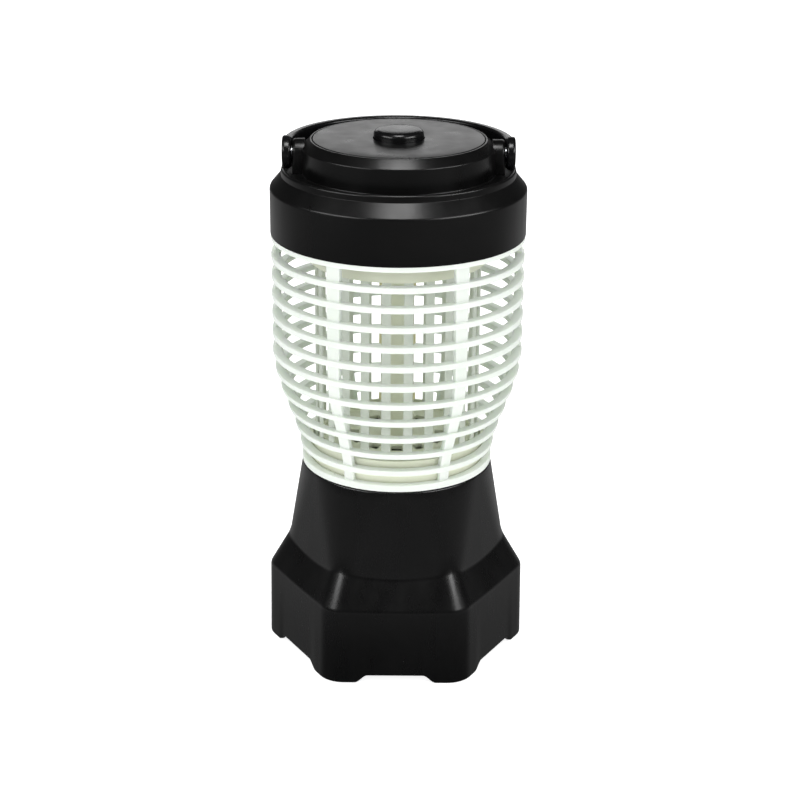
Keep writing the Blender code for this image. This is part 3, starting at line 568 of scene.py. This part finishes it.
def circuit_board():
    """Green solder mask over faint copper tracks, seen as a low relief."""
    made = Nodes("circuit_board", (0.02, 0.16, 0.06), 0.35)
    brick = made.add("ShaderNodeTexBrick")
    brick.inputs["Scale"].default_value = 140.0
    brick.inputs["Mortar Size"].default_value = 0.012
    made.link(made.place, brick.inputs["Vector"])
    made.paint(made.tint(brick.outputs["Fac"], (0.018, 0.13, 0.05), (0.03, 0.22, 0.08)))
    made.roughen(made.noise(3.0), 0.28, 0.45)
    made.bump([(brick.outputs["Fac"], 0.3)])
    return made.material


def light_chip():
    """White solder mask of a light board, with a slight drift of tone."""
    made = Nodes("light_board_white", (0.70, 0.72, 0.62), 0.35)
    made.paint(made.tint(made.noise(4.0), (0.62, 0.65, 0.52), (0.76, 0.78, 0.68)))
    made.roughen(made.noise(2.0), 0.25, 0.45)
    made.bump([(made.noise(0.4), 0.15)])
    return made.material


def sleeve_print():
    """Plain printed sleeve of a cell: blue with a lighter drift, a little creased."""
    made = Nodes("cell_jacket", (0.04, 0.09, 0.24), 0.3, coat=0.3)
    crease = made.noise(3.0, 3.0, stretch=(1.0, 1.0, 0.2))
    made.paint(made.tint(made.noise(15.0), (0.03, 0.07, 0.20), (0.06, 0.12, 0.30)))
    made.roughen(crease, 0.22, 0.38)
    made.bump([(crease, 0.2)])
    return made.material


BLACK = satin_black("satin_black_plastic", (0.0018, 0.0018, 0.0019), (0.0030, 0.0029, 0.0029),
                    0.27, 0.34, 0.30)
BASE_BLACK = satin_black("base_black_plastic", (0.0012, 0.0012, 0.0013), (0.0022, 0.0022, 0.0023),
                         0.25, 0.32, 0.50)
GLOSS = gloss_black()
MINT = pale_plastic("mint_white_plastic", (0.77, 0.81, 0.765), (0.74, 0.79, 0.735), 0.36, 0.46, 0.40)
CREAM = pale_plastic("cream_plastic", (0.83, 0.86, 0.70), (0.80, 0.83, 0.66), 0.36, 0.48, 0.10)
STRIP = drawn_metal("grid_strip_steel", (0.80, 0.84, 0.77), (0.73, 0.78, 0.70), 0.36, 0.48, metallic=0.20)
ZINC = drawn_metal("zinc_steel", (0.62, 0.63, 0.65), (0.52, 0.54, 0.56), 0.25, 0.42, (1.0, 1.0, 0.3))
BRASS = drawn_metal("contact_brass", (0.75, 0.57, 0.26), (0.66, 0.48, 0.20), 0.22, 0.38)
BOARD = circuit_board()
LIGHT = light_chip()
GREY = satin_black("dark_grey_plastic", (0.05, 0.052, 0.055), (0.07, 0.072, 0.075), 0.42, 0.55, 0.5)
JACKET = sleeve_print()
CHIP = pale_plastic("light_chip_amber", (0.78, 0.74, 0.45), (0.70, 0.66, 0.36), 0.25, 0.35, 0.0)


# ---------------------------------------------------------------- base shell
def hexagon_radius(apothem, corner, angle):
    """Radius of a rounded hexagon with vertices at 0, 60, ... degrees."""
    from_face = abs((angle % 60.0) - 30.0)
    flat_half = (apothem - corner) * tan(radians(30.0))
    if apothem * tan(radians(from_face)) <= flat_half:
        return apothem / cos(radians(from_face))
    arm = (apothem - corner) / cos(radians(30.0))
    offset = radians(30.0 - from_face)
    return arm * cos(offset) + sqrt(max(0.0, corner ** 2 - (arm * sin(offset)) ** 2))


def foot_height(angle):
    """Height of the shell's lower edge: raised in the middle of a face, on the ground at a corner."""
    from_face = (angle % 60.0) - 30.0
    across = abs(FOOT_APOTHEM * tan(radians(from_face)))
    part = max(0.0, min(1.0, (across - NOTCH_FLAT) / (NOTCH_END - NOTCH_FLAT)))
    return NOTCH_HEIGHT * (1.0 - part * part * (3 - 2 * part))


def neck_section(height):
    """Apothem and corner radius of the neck, which turns from hexagon to circle."""
    up = (height - LEDGE_FACE_Z) / (NECK_TOP - LEDGE_FACE_Z)
    apothem = LEDGE_APOTHEM + (NECK_TOP_RADIUS - LEDGE_APOTHEM) * up
    vertex_up = (height - LEDGE_VERTEX_Z) / (NECK_TOP - LEDGE_VERTEX_Z)
    vertex = LEDGE_VERTEX + (NECK_TOP_RADIUS + 0.35 - LEDGE_VERTEX) * vertex_up
    sharpness = 1 / cos(radians(30.0)) - 1
    return apothem, apothem - (vertex - apothem) / sharpness


def vertex_share(angle):
    """1 at a corner of the hexagon, 0 in the middle of a face."""
    return (abs((angle % 60.0) - 30.0) / 30.0) ** 2


def base_shell():
    """Housing with six corner feet, the skirt, the sloping ledge and the neck."""
    edges = [vertex + step * 0.4 for vertex in range(0, 360, 60) for step in range(-10, 11)]
    angles = spread(edges, 1.0)
    rise = LEDGE_VERTEX_Z - LEDGE_FACE_Z

    def loop(apothem, corner, height):
        corner = max(corner, 0.4)
        return [polar(hexagon_radius(apothem, corner, a), a, height(a)) for a in angles]

    def foot_loop(turn):
        inset = EDGE_ROUND * (1 - sin(radians(turn)))
        return loop(FOOT_APOTHEM - inset, FOOT_CORNER - inset,
                    lambda a: foot_height(a) + EDGE_ROUND * (1 - cos(radians(turn))))

    def ledge_loop(inset=0.0, drop=0.0):
        corner = neck_section(LEDGE_FACE_Z)[1]
        return loop(LEDGE_APOTHEM - inset, corner - inset,
                    lambda a: LEDGE_FACE_Z - drop + rise * vertex_share(a))

    def neck_loop(height, inset=0.0):
        apothem, corner = neck_section(height)
        return loop(apothem - inset, corner - inset, lambda a: height)

    def softened(before, corner_loop, after, reach, steps=5):
        """Replace a sharp corner loop by a smooth bend that starts a given reach away."""
        rows = []
        for step in range(steps + 1):
            t = step / steps
            row = []
            for a, b, c in zip(before, corner_loop, after):
                start = b + (a - b).normalized() * min(reach, (a - b).length * 0.45)
                end = b + (c - b).normalized() * min(reach, (c - b).length * 0.45)
                row.append(start * (1 - t) ** 2 + b * 2 * t * (1 - t) + end * t ** 2)
            rows.append(row)
        return rows

    turns = [90.0 * step / FOOT_STEPS for step in range(FOOT_STEPS + 1)]
    foot_rows = [foot_loop(turn) for turn in turns]
    skirt = loop(SKIRT_APOTHEM, SKIRT_CORNER, lambda a: SKIRT_TOP + 0.7 + 0.5 * vertex_share(a))
    ledge = ledge_loop()
    neck_low = neck_loop(60.0)
    neck_rows = [neck_loop(height) for height in (66.0, 72.0, 78.0, 84.0, 90.0, 95.0)]
    neck_top = neck_loop(NECK_TOP)
    rows = (foot_rows + softened(foot_rows[-1], skirt, ledge, SKIRT_EDGE)
            + softened(skirt, ledge, neck_low, LEDGE_EDGE) + [neck_low] + neck_rows
            + softened(neck_rows[-1], neck_top, neck_loop(NECK_TOP, WALL), 0.7, 3)
            + [neck_loop(NECK_TOP, WALL), neck_loop(80.0, WALL), neck_loop(62.0, WALL),
               ledge_loop(WALL, 1.2),
               loop(SKIRT_APOTHEM - WALL, SKIRT_CORNER - WALL, lambda a: SKIRT_TOP - 1.0),
               loop(FOOT_APOTHEM - WALL, FOOT_CORNER - WALL, lambda a: foot_height(a) + 0.3),
               loop(FOOT_APOTHEM - WALL + 0.3, FOOT_CORNER - WALL, foot_height)])
    shell = loft("shell_housing", rows, BASE_BLACK)
    settle(shell, "base", "black_plastic", "base_shell")


# ---------------------------------------------------------------- cage
def cage_radius(height):
    part = max(0.0, min(1.0, (height - CAGE_CURVE_LOW) / CAGE_CURVE_RISE))
    return CAGE_NARROW + (CAGE_WIDE - CAGE_NARROW) * part * part * (3 - 2 * part)


def rib_half_width(height):
    return RIB_HALF_LOW + RIB_HALF_GAIN * (height - CAGE_BOTTOM) / (CAP_EDGE - CAGE_BOTTOM)


def outer_cage():
    """Eleven rings on six recessed ribs between a lower and an upper band."""
    levels = [CAGE_BOTTOM, BAND_BOTTOM_TOP]
    for ring in range(RING_COUNT):
        low = RING_LOWEST + RING_PITCH * ring
        levels += [low, low + RING_HEIGHT]
    levels += [BAND_TOP_BOTTOM, CAGE_HIGH[2] - SPIGOT_RISE, CAGE_HIGH[2]]
    last = len(levels) - 1
    marks = []
    for rib in RIB_ANGLES:
        marks += [(rib, -1), (rib, 1)]
        marks += [(rib + RIB_TO_RING + (60.0 - 2 * RIB_TO_RING) * step / RING_STEPS, 0)
                  for step in range(RING_STEPS + 1)]

    def direction(mark, height):
        angle, side = mark
        return angle + side * degrees(rib_half_width(height) / cage_radius(height))

    def boundary(k, l):
        outer = cage_radius(levels[l])
        inner = max(outer - RING_DEPTH, CUP_RADIUS + 0.4)
        if l <= 1:
            inner = CUP_RADIUS + 0.4
        elif l >= last - 2:
            inner = SPIGOT_INNER
        split = SPIGOT_OUTER if l >= last - 1 else outer - RIB_RECESS
        return (inner, split, outer)[k]

    def corner(i, k, l):
        return polar(boundary(k, l), direction(marks[i], levels[l]), levels[l])

    def filled(i, k, l):
        if l == last - 1:
            return k == 0
        is_ring = l % 2 == 0 or l == last - 2
        return is_ring or (k == 0 and marks[i][1] == -1)

    cage = cell_solid("slatted_cage", (len(marks), 2, last), corner, filled, MINT)
    soften(cage, 0.45, 3, 40.0)
    settle(cage, "head", "mint_plastic", "outer_cage")


# ---------------------------------------------------------------- grid, cup, tray and light column
def grid_base():
    """Cup under the grid with its slotted floor, grooves and rim."""
    slots = [30.0 * slot for slot in range(12)]
    edges = [a + d for a in slots for d in (-SLOT_HALF, SLOT_HALF)]
    edges += [a + d for a in LUG_ANGLES for d in (-15.0, 15.0)]
    angles = spread(edges, 2.5)
    levels = [CUP_LOW[2], 104.1, 109.6, 111.4, FLOOR_TOP, CUP_TOP]

    def filled(i, k, l):
        angle = middle(angles, i)
        if k == 6:
            return True
        if k in (4, 5) and l == 2:
            return True
        if k == 5 and l == 0:
            return within(angle, LUG_ANGLES, 15.0)
        if k == 3:
            return l >= 2
        return l == 3 and (k in (0, 2) or (k == 1 and not within(angle, slots, SLOT_HALF)))

    radii = fixed_radii(2.6, 19.5, 25.5, 37.8, 39.0, 40.6, 42.7, CUP_RADIUS)
    cup = polar_solid("grid_cup", angles, radii, levels, filled, CREAM)
    soften(cup, 0.25, 2, 50.0)
    settle(cup, "head", "cream_plastic", "grid_base")


def grid_cap():
    roof, top = 214.6, 216.9
    ring = turned("grid_upper_ring", [
        (3.2, roof), (37.6, roof), (37.6, 208.4, 0.3), (38.8, 208.4, 0.3), (38.8, roof), (42.8, roof),
        (42.8, TOP_RING_EDGE, 0.3), (CUP_RADIUS, TOP_RING_EDGE, 0.3), (CUP_RADIUS, top), (3.2, top)],
        CREAM, steps=2)
    settle(ring, "head", "cream_plastic", "grid_cap")


def electrode(name, node, first_angle, ring_levels, strip_levels):
    """A ring with twelve thin strips whose long edges are eased."""
    half = degrees(STRIP_WIDTH / 2 / GRID_RADIUS)
    pitch = 360.0 / STRIPS_EACH
    centres = [first_angle + pitch * strip for strip in range(STRIPS_EACH)]
    angles = spread([c + d for c in centres for d in (-half, half)], 2.5)
    levels = sorted({*ring_levels, *strip_levels})
    ring_level = levels.index(ring_levels[0])

    def filled(i, k, l):
        if l == ring_level:
            return True
        return k == 1 and within(middle(angles, i), centres, half)

    inner = GRID_RADIUS - STRIP_THICK / 2
    radii = fixed_radii(inner - 0.4, inner, inner + STRIP_THICK, inner + STRIP_THICK + 0.4)
    grid = polar_solid(name, angles, radii, levels, filled, STRIP)
    soften(grid, 0.12, 2, 50.0)
    settle(grid, "head", "grid_steel", node)


def slab(near, far, half):
    """A rectangle that lies across the X axis."""
    return [(near, -half), (far, -half), (far, half), (near, half)]


def light_column():
    """Hexagonal column and three light boards with their chips."""
    low, high = (value[2] for value in span("led_column"))
    hexagon = [tuple(polar(COLUMN_RADIUS, 60.0 * i, 0.0)[:2]) for i in range(6)]
    column = prism("light_column", fillet([(*point, 0.7) for point in hexagon], 4), low, high, CREAM)
    settle(column, "head", "cream_plastic", "led_column")
    face = COLUMN_RADIUS * cos(radians(30.0)) + 0.3
    for index, angle in enumerate(LED_FACES):
        turn = Matrix.Rotation(radians(angle), 4, "Z")
        board = slab(face, face + LED_BOARD_THICK, LED_BOARD_HALF)
        strip = prism(f"light_strip_{index + 1}", board, *LED_BOARD_LEVELS, LIGHT)
        strip.data.transform(turn)
        soften(strip, 0.1)
        settle(strip, "head", "circuit_board", f"led_board_{index + 1}")
        for spot, height in enumerate(LED_HEIGHTS):
            block = slab(face + CHIP_REACH[0], face + CHIP_REACH[1], CHIP_HALF)
            chip = prism(f"light_chip_{index + 1}_{spot + 1}", block,
                         height - CHIP_TALL, height + CHIP_TALL, CHIP)
            chip.data.transform(turn)
            soften(chip, 0.2)
            settle(chip, "head", "circuit_board", f"led_board_{index + 1}")


def bug_tray():
    low, high = (value[2] for value in span("bug_tray"))
    tray = turned("catch_tray", [
        (8.4, low, 0.3), (37.6, low, 1.0), (37.8, high, 0.4), (36.4, high, 0.4), (36.2, low + 1.4, 0.8),
        (9.8, low + 1.4, 0.8), (9.8, high, 0.4), (8.4, high, 0.4)], CREAM, steps=3)
    settle(tray, "base", "cream_plastic", "bug_tray")


# ---------------------------------------------------------------- cap, lid, button
def top_cap():
    """Cap wall with its shoulder, lip, terrace, drum and the two handle towers."""
    inner = CAP_RADIUS - WALL
    drum_in = DRUM_RADIUS - WALL
    under = TERRACE_Z - WALL
    outline = [(CAP_RADIUS, CAP_EDGE, 0.4), (CAP_RADIUS, WALL_TOP, 2.2),
               (LIP_OUTER + 0.1, SHOULDER_TOP, 0.3), (LIP_OUTER, LIP_TOP, 1.2),
               (LIP_INNER, LIP_TOP, 0.8), (LIP_INNER - 0.2, TERRACE_Z, 0.3), (DRUM_RADIUS, TERRACE_Z, 0.8),
               (DRUM_RADIUS, CHAMFER_LOW, 1.0), (CHAMFER_RADIUS, DRUM_TOP, 0.3),
               (LID_RADIUS + 0.4, DRUM_TOP, 0.15), (LID_RADIUS + 0.4, SEAT_Z), (SEAT_RADIUS, SEAT_Z),
               (SEAT_RADIUS, SEAT_Z - SEAT_THICK), (drum_in, SEAT_Z - SEAT_THICK),
               (drum_in, under), (55.9, under), (inner, 242.1), (inner, CAP_EDGE, 0.4)]
    cap = turned("cap_housing", outline, BLACK, segments=180)
    for side in (-1, 1):
        arc = [(TOWER_RADIUS * cos(pi * step / 32), PIVOT_Z + TOWER_RADIUS * sin(pi * step / 32))
               for step in range(33)]
        outline = arc + [(-TOWER_RADIUS, TERRACE_Z - 1.0), (TOWER_RADIUS, TERRACE_Z - 1.0)]
        reach = sorted((side * (DRUM_RADIUS - 1.4), side * TOWER_REACH))
        tower = soft_prism(f"tower_tool_{side}", outline, reach, 1.6, side)
        combine(cap, tower, "UNION")
        reach = sorted((side * (TOWER_REACH + 0.2), side * (HANDLE_OUTER + 1.6)))
        relief = prism(f"relief_tool_{side}", circle_outline(9.0, 64, (0.0, PIVOT_Z)), *reach,
                       BLACK, axes="YZX")
        combine(cap, relief, "DIFFERENCE")
        reach = sorted((side * 47.4, side * (TOWER_REACH + 2.0)))
        bore = prism(f"bore_tool_{side}", circle_outline(PIN_RADIUS + 0.3, 48, (0.0, PIVOT_Z)), *reach,
                     BLACK, axes="YZX")
        combine(cap, bore, "DIFFERENCE")
    soften(cap, 0.35, 3, 50.0)
    settle(cap, "head", "black_plastic", "top_cap")


def lid_and_button():
    hole = BUTTON_RADIUS + 0.3
    dome = [(r, LID_TOP + 0.25 - 0.25 * (r / LID_RADIUS) ** 2) for r in (34.0, 26.0, 18.0)]
    lid = turned("lid_disc", [(hole, 262.9), (LID_RADIUS, 262.9), (LID_RADIUS, LID_TOP, 0.5), *dome,
                              (hole, LID_TOP + 0.2, 0.2)], BLACK, segments=180)
    settle(lid, "head", "black_plastic", "lid_plate")
    button = turned("push_button", [
        (0.0, 262.0), (9.4, 262.0), (9.4, 258.4), (14.2, 258.4), (14.2, 260.2), (BUTTON_RADIUS, 260.2),
        (BUTTON_RADIUS, BUTTON_TOP - 0.3, 2.6), (6.0, BUTTON_TOP), (0.0, BUTTON_TOP)], GLOSS, segments=128)
    settle(button, "button", "gloss_black", "power_button")


def press_spring():
    """Coil spring under the button, riding with the button as one piece."""
    steps, sides = int(SPRING_TURNS * SPRING_STEPS), 12
    rise = SPRING_HIGH - SPRING_LOW - 2 * SPRING_WIRE
    rings = []
    for step in range(steps + 1):
        angle = 360.0 * SPRING_TURNS * step / steps
        height = SPRING_LOW + SPRING_WIRE + rise * step / steps
        rings.append([polar(SPRING_COIL + SPRING_WIRE * cos(2 * pi * side / sides), angle,
                            height + SPRING_WIRE * sin(2 * pi * side / sides)) for side in range(sides)])
    spring = loft("press_spring", rings, ZINC, closed=False)
    settle(spring, "button", "zinc_steel", "button_spring")
    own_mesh(spring)


# ---------------------------------------------------------------- handle
def bail_handle():
    """Half-round band that ends in two round eyes, with the pins' heads let in."""
    steps = 128
    middle_radius = (HANDLE_INNER + HANDLE_OUTER) / 2
    half_thick = (HANDLE_OUTER - HANDLE_INNER) / 2
    section = fillet([(-half_thick, -HANDLE_HALF, 1.3), (half_thick, -HANDLE_HALF, 1.3),
                      (half_thick, HANDLE_HALF, 1.3), (-half_thick, HANDLE_HALF, 1.3)], 5)
    rings = [[polar(middle_radius + across, 180.0 * step / steps, PIVOT_Z + up)
              for across, up in section] for step in range(steps + 1)]
    handle = loft("carry_handle", rings, GLOSS, closed=False)
    for side in (-1, 1):
        reach = sorted((side * HANDLE_INNER, side * HANDLE_OUTER))
        eye = soft_prism(f"eye_tool_{side}", circle_outline(HANDLE_EYE, 64, (0.0, PIVOT_Z)), reach,
                         1.3, 0)
        combine(handle, eye, "UNION")
        for radius, start in ((PIN_RADIUS + 0.3, HANDLE_INNER - 2.0), (PIN_HEAD + 0.3, PIN_HEAD_FACE - 1.9)):
            reach = sorted((side * start, side * (HANDLE_OUTER + 2.0)))
            tool = prism(f"eye_cut_{side}", circle_outline(radius, 48, (0.0, PIVOT_Z)), *reach,
                         GLOSS, axes="YZX")
            combine(handle, tool, "DIFFERENCE")
        head = PIN_HEAD_FACE - 1.6
        label = "left" if side < 0 else "right"
        pin = turned(f"pivot_pin_{label}", [(0.0, 47.8), (PIN_RADIUS, 47.8), (PIN_RADIUS, head),
                                            (PIN_HEAD, head, 0.2), (PIN_HEAD, PIN_HEAD_FACE, 0.6),
                                            (0.0, PIN_HEAD_FACE)], ZINC, segments=48)
        turn = Matrix.Rotation(side * pi / 2, 4, "Y")
        pin.data.transform(Matrix.Translation((0.0, 0.0, PIVOT_Z * MM)) @ turn)
        settle(pin, "head", "zinc_steel", f"handle_pin_{label}")
    soften(handle, 0.3, 3, 50.0)
    settle(handle, "handle", "gloss_black", "bail_handle")


base_shell()
outer_cage()
grid_base()
grid_cap()
electrode("outer_grid_ring", "electrode_negative", 7.5, LOWER_RING, OUTER_STRIPS)
electrode("inner_grid_ring", "electrode_positive", 22.5, UPPER_RING, INNER_STRIPS)
light_column()
bug_tray()
top_cap()
lid_and_button()
press_spring()
bail_handle()

SLOT_MATERIALS = {
    "black_plastic": BLACK, "gloss_black": GLOSS, "mint_plastic": MINT, "cream_plastic": CREAM,
    "grid_steel": STRIP, "zinc_steel": ZINC, "contact_brass": BRASS, "circuit_board": BOARD,
    "grey_plastic": GREY, "cell_jacket": JACKET,
}
for part in frame["record"]["subparts"]:
    node = frame["nodes"][part["node"]]
    node.data.materials.clear()
    node.data.materials.append(SLOT_MATERIALS[part["material_slot"]])
    node.data.shade_smooth()
    node.data.set_sharp_from_angle(angle=radians(SMOOTH_ANGLE))


# ---------------------------------------------------------------- set, light and camera
def plain_surface(name, colour, roughness, glow=0.0):
    material = bpy.data.materials.new(name)
    material.use_nodes = True
    shader = material.node_tree.nodes["Principled BSDF"]
    shader.inputs["Base Color"].default_value = (*colour, 1.0)
    shader.inputs["Roughness"].default_value = roughness
    shader.inputs["Specular IOR Level"].default_value = 0.0
    shader.inputs["Emission Color"].default_value = (1.0, 1.0, 1.0, 1.0)
    shader.inputs["Emission Strength"].default_value = glow
    return material


def add_floor():
    """A pale sweep: level floor that reads as white to the camera."""
    half = 6.0
    mesh = bpy.data.meshes.new("studio_floor")
    mesh.from_pydata([(-half, -half, 0.0), (half, -half, 0.0), (half, half, 0.0), (-half, half, 0.0)],
                     [], [(0, 1, 2, 3)])
    mesh.materials.append(plain_surface("studio_floor_white", (0.85, 0.85, 0.85), 0.9, FLOOR_GLOW))
    floor = bpy.data.objects.new("studio_floor", mesh)
    bpy.context.scene.collection.objects.link(floor)
    floor.location.z = -0.0004
    floor.visible_glossy = False


def add_world():
    """White to the camera, even for diffuse light, graded by direction for reflections."""
    world = bpy.data.worlds.new("studio_world")
    bpy.context.scene.world = world
    world.use_nodes = True
    tree = world.node_tree
    tree.nodes.clear()
    output = tree.nodes.new("ShaderNodeOutputWorld")
    path = tree.nodes.new("ShaderNodeLightPath")

    def glow(strength):
        node = tree.nodes.new("ShaderNodeBackground")
        node.inputs["Color"].default_value = (1.0, 1.0, 1.0, 1.0)
        node.inputs["Strength"].default_value = strength
        return node

    def mix(factor, first, second):
        node = tree.nodes.new("ShaderNodeMixShader")
        tree.links.new(factor, node.inputs[0])
        tree.links.new(first, node.inputs[1])
        tree.links.new(second, node.inputs[2])
        return node.outputs[0]

    soft = glow(WORLD_SOFT).outputs[0]
    graded = glow(WORLD_MIRRORED)
    direction = tree.nodes.new("ShaderNodeSeparateXYZ")
    tree.links.new(tree.nodes.new("ShaderNodeTexCoord").outputs["Generated"], direction.inputs[0])

    def ramp(value, low, high):
        node = tree.nodes.new("ShaderNodeMapRange")
        node.inputs["From Min"].default_value = low
        node.inputs["From Max"].default_value = high
        tree.links.new(value, node.inputs["Value"])
        return node.outputs["Result"]

    def reckon(operation, *terms):
        node = tree.nodes.new("ShaderNodeMath")
        node.operation = operation
        for socket, term in zip(node.inputs, terms):
            if isinstance(term, float):
                socket.default_value = term
            else:
                tree.links.new(term, socket)
        return node.outputs[0]

    forward, up = direction.outputs["Y"], direction.outputs["Z"]
    low_back = reckon("MULTIPLY", ramp(forward, *BACK_FADE), ramp(up, *BACK_LOW_FADE))
    low_band = reckon("MULTIPLY", ramp(up, *BAND_FADE_IN), ramp(up, *BAND_FADE_OUT))
    strength = reckon("MULTIPLY_ADD", low_band, WORLD_LOW, WORLD_MIRRORED)
    strength = reckon("MULTIPLY_ADD", low_back, WORLD_LOW_BACK, strength)
    tree.links.new(strength, graded.inputs["Strength"])
    mirrored = graded.outputs[0]
    seen = glow(1.0).outputs[0]
    mixed = mix(path.outputs["Is Glossy Ray"], soft, mirrored)
    tree.links.new(mix(path.outputs["Is Camera Ray"], mixed, seen), output.inputs["Surface"])


def add_soft_box(name, size, place, target, power, mirrored):
    """A rectangular area light that shows in reflections but not to the camera."""
    light = bpy.data.lights.new(name, "AREA")
    light.shape = "RECTANGLE"
    light.size, light.size_y = size
    light.energy = power
    lamp = bpy.data.objects.new(name, light)
    bpy.context.scene.collection.objects.link(lamp)
    lamp.location = place
    lamp.rotation_euler = (Vector(target) - Vector(place)).to_track_quat("-Z", "Y").to_euler()
    lamp.visible_camera = False
    lamp.visible_glossy = mirrored
    lamp.visible_diffuse = not mirrored


def add_camera():
    camera = bpy.data.cameras.new("view_camera")
    camera.lens = CAMERA_LENS
    camera.sensor_width = 36.0
    camera.shift_x = CAMERA_SHIFT
    camera.clip_start = 0.01
    piece = bpy.data.objects.new("view_camera", camera)
    bpy.context.scene.collection.objects.link(piece)
    piece.location = CAMERA_PLACE
    piece.rotation_euler = (Matrix.Rotation(pi / 2 - CAMERA_PITCH, 3, "X")
                            @ Matrix.Rotation(CAMERA_ROLL, 3, "Z")).to_euler()
    bpy.context.scene.camera = piece


add_floor()
add_world()
for box_light in SOFT_BOXES:
    add_soft_box(*box_light)
add_camera()
bpy.context.scene.view_settings.view_transform = "Standard"
